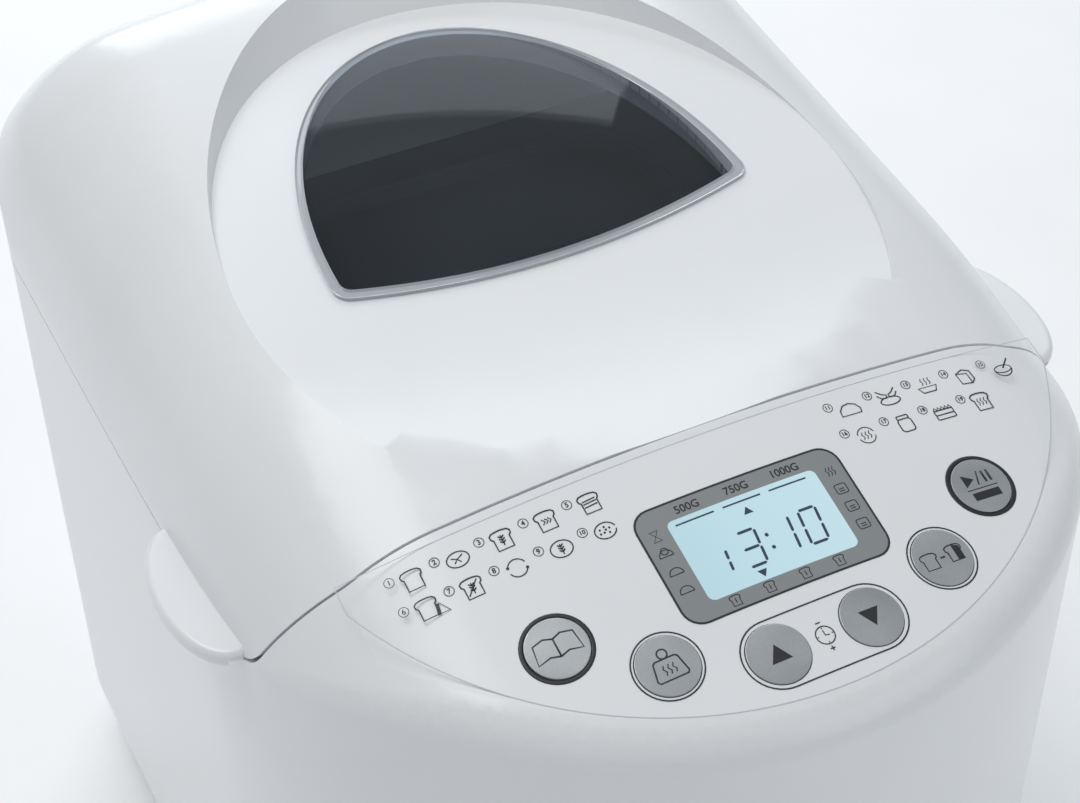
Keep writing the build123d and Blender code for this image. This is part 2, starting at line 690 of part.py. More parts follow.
# ---- Lid ----
lining = housing_form(WALL + FIT)
lid_zone = above_parting(SEAM_Y + LID_GAP, SKIRT_Y + LID_GAP, LID_BOTTOM_Z)
lid_room_zone = above_parting(SEAM_Y + LID_GAP + WALL, SKIRT_Y + LID_GAP + WALL, LID_BOTTOM_Z - WALL)
window_y = NOSE_Y + WINDOW_FRONT_INSET + (WINDOW_LENGTH - WINDOW_FRONT_BOW) / 2
grip_y = NOSE_Y + GRIP_CENTRE_INSET

# Finger grips: half-oval lips under the lid's side edges
with BuildPart() as grips:
    for side in (-1, 1):
        with BuildSketch(Plane.XY.offset(LID_FRAME_TOP_Z)):
            with Locations((side * (BODY_WIDTH / 2 - WALL), grip_y)):
                Ellipse(GRIP_REACH + WALL, GRIP_LENGTH / 2)
        extrude(amount=-LID_FRAME_THICKNESS - GRIP_DROP)
    fillet(grips.edges().group_by(Axis.Z)[0] + grips.edges().group_by(Axis.Z)[-1], WALL - FIT)
    with BuildSketch():
        Rectangle(BODY_WIDTH + 4 * FIT, 2 * BODY_DEPTH)
    extrude(amount=LID_BOTTOM_Z, mode=Mode.SUBTRACT)

with BuildPart() as lid_room:
    add(inner)
    add(lid_room_zone, mode=Mode.INTERSECT)
    add(dish(WALL), mode=Mode.SUBTRACT)

with BuildPart() as lid_shell:
    add(outer)
    add(lid_zone, mode=Mode.INTERSECT)
    add(dish(0), mode=Mode.SUBTRACT)
    add(lid_room.part, mode=Mode.SUBTRACT)
    add(window_outline(LID_BOTTOM_Z + WALL, 0))
    extrude(amount=HIGH, mode=Mode.SUBTRACT)
    add(grips.part, mode=Mode.SUBTRACT)
write(lid_shell, "lid_shell")

# Inner frame of the lid, with the finger grips and the slots that clear the hinge brackets
frame_front_y = SKIRT_Y + LID_GAP + WALL + 2 * FIT
bracket_front_y = HINGE_Y - BRACKET_REACH
with BuildPart() as lid_frame:
    add(footprint(LID_BOTTOM_Z, WALL))
    extrude(amount=LID_FRAME_THICKNESS)
    add(lining, mode=Mode.INTERSECT)
    with BuildSketch(Plane.XY.offset(LID_BOTTOM_Z)):
        with Locations((0, frame_front_y)):
            Rectangle(BODY_WIDTH, BODY_DEPTH, align=(Align.CENTER, Align.MAX))
        with Locations((0, CHAMBER_Y)):
            RectangleRounded(FRAME_OPENING_LENGTH, FRAME_OPENING_DEPTH, CHAMBER_CORNER)
        for side in (-1, 1):
            with Locations((side * HINGE_X, bracket_front_y - 1)):
                Rectangle(BRACKET_THICKNESS + 2, BODY_DEPTH, align=(Align.CENTER, Align.MIN))
    extrude(amount=LID_FRAME_THICKNESS, mode=Mode.SUBTRACT)
    add(grips.part)
write(lid_frame, "lid_frame")

with BuildPart() as lid_liner:
    add(
        rounded_box(
            FRAME_OPENING_LENGTH + 4 * WALL, FRAME_OPENING_DEPTH + 4 * WALL, CHAMBER_CORNER,
            LID_FRAME_TOP_Z, LID_FRAME_TOP_Z + SHEET, CHAMBER_Y,
        )
    )
    add(
        rounded_box(
            LINER_VIEW_LENGTH, LINER_VIEW_DEPTH, CHAMBER_CORNER,
            LID_FRAME_TOP_Z, LID_FRAME_TOP_Z + SHEET, CHAMBER_Y,
        ),
        mode=Mode.SUBTRACT,
    )
write(lid_liner, "lid_liner")

with BuildPart() as inner_glass:
    add(
        rounded_box(
            LINER_VIEW_LENGTH + 4 * WALL, LINER_VIEW_DEPTH + 4 * WALL, CHAMBER_CORNER,
            LID_FRAME_TOP_Z + SHEET, LID_FRAME_TOP_Z + SHEET + INNER_GLASS, CHAMBER_Y,
        )
    )
write(inner_glass, "inner_glass")

# Soft seal that closes the gap between lid and deck round the chamber
with BuildPart() as lid_seal:
    with BuildSketch(Plane.XY.offset(DECK_Z + FIT / 3)):
        with Locations((0, CHAMBER_Y)):
            RectangleRounded(SEAL_LENGTH, SEAL_DEPTH, CHAMBER_CORNER + SEAL_WIDTH)
            RectangleRounded(
                SEAL_LENGTH - 2 * SEAL_WIDTH, SEAL_DEPTH - 2 * SEAL_WIDTH, CHAMBER_CORNER,
                mode=Mode.SUBTRACT,
            )
    extrude(amount=LID_GAP - FIT / 3)
write(lid_seal, "lid_seal")

# Window trim, level with the dish, and the domed window inside it
with BuildPart() as window_trim:
    add(window_outline(LID_BOTTOM_Z + WALL, 0))
    extrude(amount=HIGH)
    add(window_outline(LID_BOTTOM_Z, TRIM_WIDTH))
    extrude(amount=2 * HIGH, mode=Mode.SUBTRACT)
    add(dish(TRIM_DEPTH), mode=Mode.INTERSECT)
    add(dish(-TRIM_PROUD), mode=Mode.SUBTRACT)
write(window_trim, "window_trim")

window_floor_z = DISH_FLOOR_HEIGHT + (window_y - NOSE_Y - WINDOW_FRONT_INSET) * tan(radians(LID_SLOPE))
window_top = Vector(0, window_y, window_floor_z + WINDOW_CROWN)
bulge_centre = window_top - Vector(0, -sin(radians(LID_SLOPE)), cos(radians(LID_SLOPE))) * WINDOW_BULGE_RADIUS
with BuildPart() as lid_window:
    add(window_outline(LID_BOTTOM_Z, TRIM_WIDTH))
    extrude(amount=HIGH)
    with Locations(bulge_centre):
        Sphere(WINDOW_BULGE_RADIUS, mode=Mode.INTERSECT)
        Sphere(WINDOW_BULGE_RADIUS - WINDOW_THICKNESS, mode=Mode.SUBTRACT)
write(lid_window, "lid_window")

# ---- Lid hinge ----
# Brackets stand on the deck and reach back to the pivot; the lid's arms turn beside them
with BuildPart() as hinge_brackets:
    for side in (-1, 1):
        face_x = side * HINGE_X - BRACKET_THICKNESS / 2
        with BuildSketch(Plane.YZ.offset(face_x)):
            with Locations((HINGE_Y, HINGE_Z)):
                Circle(KNUCKLE_RADIUS)
            with BuildLine():
                Polyline(
                    (bracket_front_y, DECK_Z),
                    (bracket_front_y + BRACKET_REACH / 3, DECK_Z),
                    (HINGE_Y - KNUCKLE_RADIUS / 2, HINGE_Z - KNUCKLE_RADIUS * 0.85),
                    (HINGE_Y, HINGE_Z + KNUCKLE_RADIUS),
                    (bracket_front_y, HINGE_Z + KNUCKLE_RADIUS / 2),
                    close=True,
                )
            make_face()
            with Locations((HINGE_Y, HINGE_Z)):
                Circle(PIN_RADIUS, mode=Mode.SUBTRACT)
        extrude(amount=BRACKET_THICKNESS)
write(hinge_brackets, "hinge_brackets")

arm_inner = HINGE_X + BRACKET_THICKNESS / 2 + 2 * FIT
with BuildPart() as hinge_arms:
    for side in (-1, 1):
        face_x = side * arm_inner
        with BuildSketch(Plane.YZ.offset(face_x)):
            with Locations((HINGE_Y, HINGE_Z)):
                Circle(KNUCKLE_RADIUS)
            with Locations((HINGE_Y, LID_FRAME_TOP_Z)):
                Rectangle(
                    BRACKET_REACH, HINGE_Z + KNUCKLE_RADIUS - LID_FRAME_TOP_Z, align=(Align.MAX, Align.MIN)
                )
            with Locations((HINGE_Y, HINGE_Z)):
                Circle(PIN_RADIUS + RUNNING_GAP, mode=Mode.SUBTRACT)
        extrude(amount=side * ARM_THICKNESS)
    with BuildSketch():
        Rectangle(2 * BODY_WIDTH, 2 * BODY_DEPTH)
    extrude(amount=LID_FRAME_TOP_Z, mode=Mode.SUBTRACT)
write(hinge_arms, "hinge_arms")

with BuildPart() as hinge_pins:
    for side in (-1, 1):
        ends = sorted((side * (HINGE_X - BRACKET_THICKNESS / 2), side * (arm_inner + ARM_THICKNESS)))
        add(cross_bar(*ends, HINGE_Y, HINGE_Z, PIN_RADIUS))
write(hinge_pins, "hinge_pins")

# ---- Chassis and oven chamber ----
with BuildPart() as chassis:
    with BuildSketch(Plane.XY.offset(CHASSIS_Z)):
        with Locations((0, CHAMBER_Y)):
            RectangleRounded(CHAMBER_LENGTH - 2 * WALL, CHAMBER_DEPTH, CHAMBER_CORNER)
        with Locations((0, CHAMBER_Y)):
            RectangleRounded(
                2 * (FRONT_LEG_X + LEG_RADIUS + WALL),
                CHAMBER_Y - NOSE_Y - FRONT_LEG_INSET + LEG_RADIUS + WALL,
                LEG_RADIUS,
                align=(Align.CENTER, Align.MAX),
            )
        with Locations(SPINDLE):
            Circle(BEARING_RADIUS, mode=Mode.SUBTRACT)
        with Locations((0, MOTOR_Y)):
            Circle(BEARING_RADIUS, mode=Mode.SUBTRACT)
    extrude(amount=CHASSIS_THICKNESS)
    with BuildSketch(Plane.XY.offset(BASE_TOP_Z)):
        with Locations(*leg_places):
            Circle(LEG_RADIUS)
    extrude(amount=CHASSIS_Z - BASE_TOP_Z)
    with BuildSketch(Plane.XY.offset(BASE_TOP_Z)):
        with Locations(*leg_places):
            Circle(SCREW_RADIUS)
    extrude(amount=SCREW_GRIP, mode=Mode.SUBTRACT)
write(chassis, "chassis")

with BuildPart() as base_screws:
    with BuildSketch(Plane.XY.offset(FOOT_HEIGHT + WALL)):
        with Locations(*leg_places):
            Circle(SCREW_HEAD_RADIUS)
    extrude(amount=-SCREW_HEAD)
    with BuildSketch(Plane.XY.offset(FOOT_HEIGHT + WALL)):
        with Locations(*leg_places):
            Circle(SCREW_RADIUS)
    extrude(amount=BASE_PLATE + SCREW_GRIP)
write(base_screws, "base_screws")

terminal_xs = (-TERMINAL_SPACING / 2, TERMINAL_SPACING / 2)
chamber_front_y = CHAMBER_Y - CHAMBER_DEPTH / 2
with BuildPart() as oven_chamber:
    add(
        rounded_box(
            CHAMBER_LENGTH + 2 * SHEET, CHAMBER_DEPTH + 2 * SHEET, CHAMBER_CORNER + SHEET,
            CHASSIS_TOP_Z, DECK_Z - WALL, CHAMBER_Y,
        )
    )
    add(
        rounded_box(
            CHAMBER_LENGTH + 2 * FLANGE_WIDTH, CHAMBER_DEPTH + 2 * FLANGE_WIDTH,
            CHAMBER_CORNER + FLANGE_WIDTH,
            DECK_Z - WALL - SHEET, DECK_Z - WALL, CHAMBER_Y,
        )
    )
    add(
        rounded_box(CHAMBER_LENGTH, CHAMBER_DEPTH, CHAMBER_CORNER, CHAMBER_FLOOR_Z, HIGH, CHAMBER_Y),
        mode=Mode.SUBTRACT,
    )
    add(post(*SPINDLE, BEARING_RADIUS, 0, HIGH), mode=Mode.SUBTRACT)
    with BuildSketch(Plane.XZ.offset(-chamber_front_y)):
        with Locations(*[(x, ELEMENT_Z) for x in terminal_xs]):
            Circle(INSULATOR_RADIUS)
        with Locations((SENSOR_X, SENSOR_Z)):
            Circle(SENSOR_RADIUS)
    extrude(amount=2 * SHEET, both=True, mode=Mode.SUBTRACT)
write(oven_chamber, "oven_chamber")

# Heating element: one round tube that loops the chamber low down and leaves through its front
loop_x = CHAMBER_LENGTH / 2 - ELEMENT_WALL_GAP - ELEMENT_RADIUS
loop_y = CHAMBER_DEPTH / 2 - ELEMENT_WALL_GAP - ELEMENT_RADIUS
with BuildPart() as heating_element:
    with BuildLine(Plane.XY.offset(ELEMENT_Z)):
        left_x, right_x = terminal_xs
        element_line = FilletPolyline(
            (left_x, chamber_front_y - TERMINAL_REACH),
            (left_x, CHAMBER_Y - loop_y),
            (-loop_x, CHAMBER_Y - loop_y),
            (-loop_x, CHAMBER_Y + loop_y),
            (loop_x, CHAMBER_Y + loop_y),
            (loop_x, CHAMBER_Y - loop_y),
            (right_x, CHAMBER_Y - loop_y),
            (right_x, chamber_front_y - TERMINAL_REACH),
            radius=[ELEMENT_BEND / 2] + 4 * [ELEMENT_BEND] + [ELEMENT_BEND / 2],
        )
    with BuildSketch(Plane(origin=element_line @ 0, z_dir=element_line % 0)):
        Circle(ELEMENT_RADIUS)
    sweep()
write(heating_element, "heating_element")

with BuildPart() as element_bushes:
    with BuildSketch(Plane.XZ.offset(-chamber_front_y + INSULATOR_LENGTH / 2)):
        with Locations(*[(x, ELEMENT_Z) for x in terminal_xs]):
            Circle(INSULATOR_RADIUS)
            Circle(ELEMENT_RADIUS, mode=Mode.SUBTRACT)
    extrude(amount=-INSULATOR_LENGTH / 2)
write(element_bushes, "element_bushes")

post_height = ELEMENT_Z - ELEMENT_RADIUS
with BuildPart() as element_posts:
    for x, y in ((-loop_x, 0), (loop_x, 0), (-loop_x / 2, loop_y), (loop_x / 2, loop_y)):
        add(post(x, CHAMBER_Y + y, ELEMENT_RADIUS / 2, CHAMBER_FLOOR_Z, post_height))
write(element_posts, "element_posts")

# Temperature sensor, through the chamber's front wall
with BuildPart() as temperature_sensor:
    with BuildSketch(Plane.XZ.offset(-chamber_front_y - SENSOR_REACH)):
        with Locations((SENSOR_X, SENSOR_Z)):
            Circle(SENSOR_RADIUS)
    extrude(amount=2 * SENSOR_REACH + SHEET)
    with BuildSketch(Plane.XZ.offset(-chamber_front_y + SHEET)):
        with Locations((SENSOR_X, SENSOR_Z)):
            Circle(2 * SENSOR_RADIUS)
    extrude(amount=WALL)
write(temperature_sensor, "temperature_sensor")

# Socket on the chamber floor that the pan's ring sits in
with BuildPart() as pan_socket:
    add(post(*SPINDLE, SOCKET_RADIUS + SOCKET_WALL, CHAMBER_FLOOR_Z, SOCKET_FLOOR_Z + SOCKET_HEIGHT))
    add(post(*SPINDLE, SOCKET_RADIUS, SOCKET_FLOOR_Z, HIGH), mode=Mode.SUBTRACT)
    add(post(*SPINDLE, BEARING_RADIUS, 0, HIGH), mode=Mode.SUBTRACT)
write(pan_socket, "pan_socket")

# ---- Bread pan ----
PAN_TOP_Z = PAN_FLOOR_Z + PAN_HEIGHT
rim_flare = PAN_HEIGHT * tan(radians(PAN_DRAFT))
pivot_z = PAN_TOP_Z - PIVOT_BELOW_RIM
pan_side_x = PAN_LENGTH / 2 + (pivot_z - PAN_FLOOR_Z) * tan(radians(PAN_DRAFT))
ear_x = pan_side_x + EAR_THICKNESS
with BuildPart() as pan_hollow:
    with BuildSketch(Plane.XY.offset(PAN_FLOOR_Z + PAN_WALL)):
        with Locations(SPINDLE):
            RectangleRounded(PAN_LENGTH - 2 * PAN_WALL, PAN_DEPTH - 2 * PAN_WALL, PAN_CORNER - PAN_WALL)
    extrude(amount=PAN_HEIGHT + PAN_WALL, taper=-PAN_DRAFT)
    fillet(pan_hollow.edges().group_by(Axis.Z)[0], PAN_FLOOR_RADIUS - PAN_WALL)

with BuildPart() as bread_pan:
    with BuildSketch(Plane.XY.offset(PAN_FLOOR_Z)):
        with Locations(SPINDLE):
            RectangleRounded(PAN_LENGTH, PAN_DEPTH, PAN_CORNER)
    extrude(amount=PAN_HEIGHT, taper=-PAN_DRAFT)
    fillet(bread_pan.edges().group_by(Axis.Z)[0], PAN_FLOOR_RADIUS)
    add(
        rounded_box(
            PAN_LENGTH + 2 * rim_flare + 2 * PAN_RIM, PAN_DEPTH + 2 * rim_flare + 2 * PAN_RIM, PAN_CORNER,
            PAN_TOP_Z - PAN_WALL, PAN_TOP_Z, CHAMBER_Y,
        )
    )
    add(cross_bar(-ear_x, ear_x, CHAMBER_Y, pivot_z, EAR_RADIUS))
    add(pan_hollow.part, mode=Mode.SUBTRACT)
    add(post(*SPINDLE, PAN_BEARING_RADIUS, 0, HIGH), mode=Mode.SUBTRACT)
    for side in (-1, 1):
        pin_ends = sorted((side * ear_x, side * (ear_x - EAR_BORE)))
        add(
            cross_bar(*pin_ends, CHAMBER_Y, pivot_z, HANDLE_PIN_RADIUS + RUNNING_GAP),
            mode=Mode.SUBTRACT,
        )
write(bread_pan, "bread_pan")

# Cast ring under the pan with the shaft boss in its middle
with BuildPart() as pan_ring:
    add(post(*SPINDLE, PAN_RING_RADIUS, SOCKET_FLOOR_Z, PAN_FLOOR_Z))
    add(
        post(*SPINDLE, PAN_RING_RADIUS - 2 * WALL, 0, PAN_FLOOR_Z - 2 * WALL),
        mode=Mode.SUBTRACT,
    )
    add(post(*SPINDLE, PAN_BEARING_RADIUS + 2 * WALL, PAN_BEARING_Z, PAN_FLOOR_Z))
    add(post(*SPINDLE, PAN_BEARING_RADIUS, 0, HIGH), mode=Mode.SUBTRACT)
write(pan_ring, "pan_ring")

with BuildPart() as pan_bearing:
    add(post(*SPINDLE, PAN_BEARING_RADIUS, PAN_BEARING_Z, PAN_BEARING_TOP_Z))
    add(post(*SPINDLE, SHAFT_RADIUS + RUNNING_GAP, 0, HIGH), mode=Mode.SUBTRACT)
write(pan_bearing, "pan_bearing")

# Bail handle: hangs down behind the pan and swings up about its two pins
handle_x = ear_x + HANDLE_WIRE + 2 * FIT
hang = radians(HANDLE_HANG)
with BuildPart() as pan_handle:
    with BuildLine(
        Plane(origin=(0, CHAMBER_Y, pivot_z), x_dir=(1, 0, 0), z_dir=(0, sin(hang), cos(hang)))
    ):
        bail = FilletPolyline(
            (-handle_x, 0), (-handle_x, HANDLE_REACH), (handle_x, HANDLE_REACH), (handle_x, 0),
            radius=PAN_CORNER,
        )
    with BuildSketch(Plane(origin=bail @ 0, z_dir=bail % 0)):
        Circle(HANDLE_WIRE)
    sweep()
    for side in (-1, 1):
        pin_ends = sorted((side * handle_x, side * (ear_x - EAR_BORE + FIT)))
        add(cross_bar(*pin_ends, CHAMBER_Y, pivot_z, HANDLE_PIN_RADIUS))
    with Locations(*[(side * handle_x, CHAMBER_Y, pivot_z) for side in (-1, 1)]):
        Sphere(HANDLE_WIRE)
write(pan_handle, "pan_handle")

# ---- Kneading drive ----
SHAFT_TOP_Z = SOCKET_FLOOR_Z + DOG_HEIGHT + WALL
with BuildPart() as main_bearing:
    add(post(*SPINDLE, BEARING_RADIUS, BEARING_Z, SOCKET_FLOOR_Z))
    add(post(*SPINDLE, BEARING_RADIUS + 2 * WALL, CHASSIS_Z - WALL, CHASSIS_Z))
    add(post(*SPINDLE, SHAFT_RADIUS + RUNNING_GAP, 0, HIGH), mode=Mode.SUBTRACT)
write(main_bearing, "main_bearing")

with BuildPart() as drive_shaft:
    add(post(*SPINDLE, SHAFT_RADIUS, PULLEY_Z - WALL, SHAFT_TOP_Z))
write(drive_shaft, "drive_shaft")


def pulley(x, y, radius, bore):
    """A flat-belt pulley with a groove for the belt."""
    groove = (PULLEY_WIDTH - BELT_WIDTH) / 2 - BELT_CLEARANCE
    with BuildPart() as wheel:
        add(post(x, y, radius + WALL, PULLEY_Z, PULLEY_Z + PULLEY_WIDTH))
        with BuildSketch(Plane.XY.offset(PULLEY_Z + groove)):
            with Locations((x, y)):
                Circle(radius + 2 * WALL)
                Circle(radius, mode=Mode.SUBTRACT)
        extrude(amount=PULLEY_WIDTH - 2 * groove, mode=Mode.SUBTRACT)
        add(post(x, y, bore, 0, HIGH), mode=Mode.SUBTRACT)
    return wheel.part


with BuildPart() as large_pulley:
    add(pulley(*SPINDLE, BIG_PULLEY_RADIUS, SHAFT_RADIUS))
    with BuildSketch(Plane.XY.offset(PULLEY_Z)):
        with Locations(SPINDLE):
            with PolarLocations(BIG_PULLEY_RADIUS * 0.58, 6):
                Circle(BIG_PULLEY_RADIUS * 0.2)
    extrude(amount=PULLEY_WIDTH, mode=Mode.SUBTRACT)
write(large_pulley, "large_pulley")

with BuildPart() as motor_pulley:
    add(pulley(0, MOTOR_Y, SMALL_PULLEY_RADIUS, MOTOR_SHAFT_RADIUS))
write(motor_pulley, "motor_pulley")

with BuildPart() as drive_belt:
    with BuildSketch(Plane.XY.offset(PULLEY_Z + (PULLEY_WIDTH - BELT_WIDTH) / 2)):
        for slack, mode in ((BELT_CLEARANCE + BELT_THICKNESS, Mode.ADD), (BELT_CLEARANCE, Mode.SUBTRACT)):
            big = BIG_PULLEY_RADIUS + slack
            small = SMALL_PULLEY_RADIUS + slack
            lean = asin((big - small) / (CHAMBER_Y - MOTOR_Y))
            with Locations(SPINDLE):
                Circle(big, mode=mode)
            with Locations((0, MOTOR_Y)):
                Circle(small, mode=mode)
            with BuildLine():
                Polyline(
                    (big * cos(lean), CHAMBER_Y - big * sin(lean)),
                    (small * cos(lean), MOTOR_Y - small * sin(lean)),
                    (-small * cos(lean), MOTOR_Y - small * sin(lean)),
                    (-big * cos(lean), CHAMBER_Y - big * sin(lean)),
                    close=True,
                )
            make_face(mode=mode)
    extrude(amount=BELT_WIDTH)
write(drive_belt, "drive_belt")

# Lower dog: two lugs that push the bar of the pan's dog
dog_z = SOCKET_FLOOR_Z + FIT
bar_z = SHAFT_TOP_Z + FIT
with BuildPart() as drive_dog:
    add(post(*SPINDLE, DOG_RADIUS, dog_z, SHAFT_TOP_Z))
    with BuildSketch(Plane.XY.offset(SHAFT_TOP_Z)):
        with Locations(SPINDLE):
            with Locations(
                (DOG_RADIUS * 0.6, (DOG_BAR + DOG_LUG) / 2 + DOG_GAP),
                (-DOG_RADIUS * 0.6, -(DOG_BAR + DOG_LUG) / 2 - DOG_GAP),
            ):
                Rectangle(DOG_LUG, DOG_LUG)
    extrude(amount=DOG_HEIGHT)
    add(post(*SPINDLE, SHAFT_RADIUS, 0, SHAFT_TOP_Z), mode=Mode.SUBTRACT)
write(drive_dog, "drive_dog")

boss_z = bar_z + DOG_HEIGHT
with BuildPart() as pan_dog:
    with BuildSketch(Plane.XY.offset(bar_z)):
        with Locations(SPINDLE):
            SlotOverall(2 * DOG_RADIUS, DOG_BAR)
    extrude(amount=DOG_HEIGHT)
    add(post(*SPINDLE, SHAFT_RADIUS + WALL, boss_z, PAN_BEARING_Z - FIT))
    add(post(*SPINDLE, SHAFT_RADIUS, boss_z, HIGH), mode=Mode.SUBTRACT)
write(pan_dog, "pan_dog")

with BuildPart() as pan_shaft:
    add(post(*SPINDLE, SHAFT_RADIUS, boss_z, PADDLE_Z + PADDLE_HUB_BORE))
write(pan_shaft, "pan_shaft")

with BuildPart() as kneading_paddle:
    add(post(*SPINDLE, PADDLE_HUB_RADIUS, PADDLE_Z, PADDLE_Z + PADDLE_HUB_HEIGHT))
    with BuildSketch(Plane.XZ.offset(-CHAMBER_Y)):
        with BuildLine():
            Polyline(
                (0, PADDLE_Z), (PADDLE_REACH, PADDLE_Z),
                (PADDLE_REACH * 0.8, PADDLE_Z + PADDLE_HEIGHT),
                (PADDLE_REACH * 0.35, PADDLE_Z + PADDLE_HEIGHT),
                (0, PADDLE_Z + PADDLE_HUB_HEIGHT), close=True,
            )
        make_face()
    extrude(amount=PADDLE_THICKNESS / 2, both=True)
    fillet(kneading_paddle.edges().filter_by(Axis.Y), PADDLE_THICKNESS / 3)
    add(post(*SPINDLE, SHAFT_RADIUS, 0, PADDLE_Z + PADDLE_HUB_BORE), mode=Mode.SUBTRACT)
write(kneading_paddle, "kneading_paddle")

# ---- Motor and electrics ----
with BuildPart() as motor:
    add(post(0, MOTOR_Y, MOTOR_RADIUS, MOTOR_Z, MOTOR_Z + MOTOR_HEIGHT))
    fillet(motor.edges().group_by(Axis.Z)[-1], MOTOR_RADIUS / 5)
    add(post(0, MOTOR_Y, MOTOR_SHAFT_RADIUS + RUNNING_GAP, 0, MOTOR_Z + MOTOR_HEIGHT / 2), mode=Mode.SUBTRACT)
write(motor, "motor")

with BuildPart() as motor_grommets:
    with BuildSketch(Plane.XY.offset(CHASSIS_TOP_Z)):
        with Locations((0, MOTOR_Y)):
            with PolarLocations(MOTOR_RADIUS * 0.7, 3, start_angle=90):
                Circle(GROMMET_RADIUS)
    extrude(amount=GROMMET_HEIGHT)
write(motor_grommets, "motor_grommets")

with BuildPart() as motor_shaft:
    add(post(0, MOTOR_Y, MOTOR_SHAFT_RADIUS, PULLEY_Z - FIT, MOTOR_Z + MOTOR_HEIGHT / 2 - FIT))
write(motor_shaft, "motor_shaft")

with BuildPart() as run_capacitor:
    add(
        post(
            CAPACITOR_X, MOTOR_Y + MOTOR_RADIUS / 2, CAPACITOR_RADIUS,
            BASE_TOP_Z, BASE_TOP_Z + CAPACITOR_HEIGHT,
        )
    )
    fillet(run_capacitor.edges().group_by(Axis.Z)[-1], WALL)
write(run_capacitor, "run_capacitor")

with BuildPart() as power_board:
    with BuildSketch(Plane.YZ.offset(-POWER_BOARD_X)):
        with Locations((MOTOR_Y + MOTOR_RADIUS / 2, BASE_TOP_Z)):
            Rectangle(POWER_BOARD_LENGTH, POWER_BOARD_HEIGHT, align=(Align.CENTER, Align.MIN))
    extrude(amount=-BOARD_THICKNESS)
    with BuildSketch(Plane.YZ.offset(-POWER_BOARD_X)):
        with Locations((MOTOR_Y + MOTOR_RADIUS / 2, BASE_TOP_Z + POWER_BOARD_HEIGHT / 2)):
            with GridLocations(POWER_BOARD_LENGTH / 2, POWER_BOARD_HEIGHT / 2, 2, 2):
                Rectangle(RELAY_SIZE, RELAY_SIZE)
    extrude(amount=RELAY_SIZE * 0.8)
write(power_board, "power_board")

with BuildPart() as thermal_fuse:
    with BuildSketch(Plane.XZ.offset(-chamber_front_y + SHEET)):
        with Locations((-SENSOR_X, SENSOR_Z)):
            SlotOverall(6 * SENSOR_RADIUS, 2 * SENSOR_RADIUS)
    extrude(amount=2 * WALL)
write(thermal_fuse, "thermal_fuse")
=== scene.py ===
import json
import math

import bmesh
import bpy
from mathutils import Matrix, Vector

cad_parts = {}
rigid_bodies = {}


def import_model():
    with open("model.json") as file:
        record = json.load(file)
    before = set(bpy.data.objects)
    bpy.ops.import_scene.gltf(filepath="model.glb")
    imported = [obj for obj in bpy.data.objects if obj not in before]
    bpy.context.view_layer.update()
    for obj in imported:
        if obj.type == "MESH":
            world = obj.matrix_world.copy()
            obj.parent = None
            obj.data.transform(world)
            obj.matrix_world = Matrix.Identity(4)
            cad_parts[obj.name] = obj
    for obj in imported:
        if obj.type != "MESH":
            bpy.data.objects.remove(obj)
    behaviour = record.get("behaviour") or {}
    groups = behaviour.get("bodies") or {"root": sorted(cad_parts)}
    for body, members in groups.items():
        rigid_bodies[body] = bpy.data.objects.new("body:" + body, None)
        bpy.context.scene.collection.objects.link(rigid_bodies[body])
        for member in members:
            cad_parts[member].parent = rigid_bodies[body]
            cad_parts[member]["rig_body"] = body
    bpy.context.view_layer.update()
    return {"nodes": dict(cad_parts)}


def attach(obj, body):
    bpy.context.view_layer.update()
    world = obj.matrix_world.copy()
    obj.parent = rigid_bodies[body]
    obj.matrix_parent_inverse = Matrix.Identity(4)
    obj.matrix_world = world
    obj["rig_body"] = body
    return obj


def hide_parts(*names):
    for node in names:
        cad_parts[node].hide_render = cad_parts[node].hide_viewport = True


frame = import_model()
nodes = frame["nodes"]
MM = 0.001


# ---- Floor, light and camera ----
# A pale satin table, seen from above the nose and to the left. One large soft light hangs
# overhead, a weak one stands before the nose and a cool one behind the lid.
def studio_area(name, place, aim, size, watts, tint=(1.0, 1.0, 1.0)):
    """One soft panel of light, aimed at a point."""
    lamp = bpy.data.lights.new(name, "AREA")
    lamp.shape, lamp.size, lamp.energy, lamp.color = "SQUARE", size, watts, tint
    holder = bpy.data.objects.new(name, lamp)
    holder.location = place
    holder.rotation_euler = (Vector(aim) - Vector(place)).to_track_quat("-Z", "Y").to_euler()
    bpy.context.scene.collection.objects.link(holder)


studio_area("key_panel", (-0.45, 0.45, 1.9), (0.0, 0.0, 0.2), 1.0, 12.5, (1.0, 0.99, 0.97))
studio_area("front_panel", (0.9, -1.6, 0.8), (0.0, 0.0, 0.2), 1.2, 4.0, (0.97, 0.985, 1.0))
studio_area("rear_panel", (0.55, 1.75, 1.05), (0.0, 0.05, 0.28), 1.5, 17.0, (0.88, 0.94, 1.0))
world = bpy.data.worlds.new("studio")
world.use_nodes = True
world.node_tree.nodes["Background"].inputs["Color"].default_value = (0.93, 0.965, 1.0, 1.0)
world.node_tree.nodes["Background"].inputs["Strength"].default_value = 0.46
bpy.context.scene.world = world
bpy.context.scene.view_settings.view_transform = "Standard"

table_form = bmesh.new()
bmesh.ops.create_grid(table_form, x_segments=1, y_segments=1, size=4.0)
table_mesh = bpy.data.meshes.new("studio_table")
table_form.to_mesh(table_mesh)
table_form.free()
table = bpy.data.objects.new("studio_table", table_mesh)
bpy.context.scene.collection.objects.link(table)

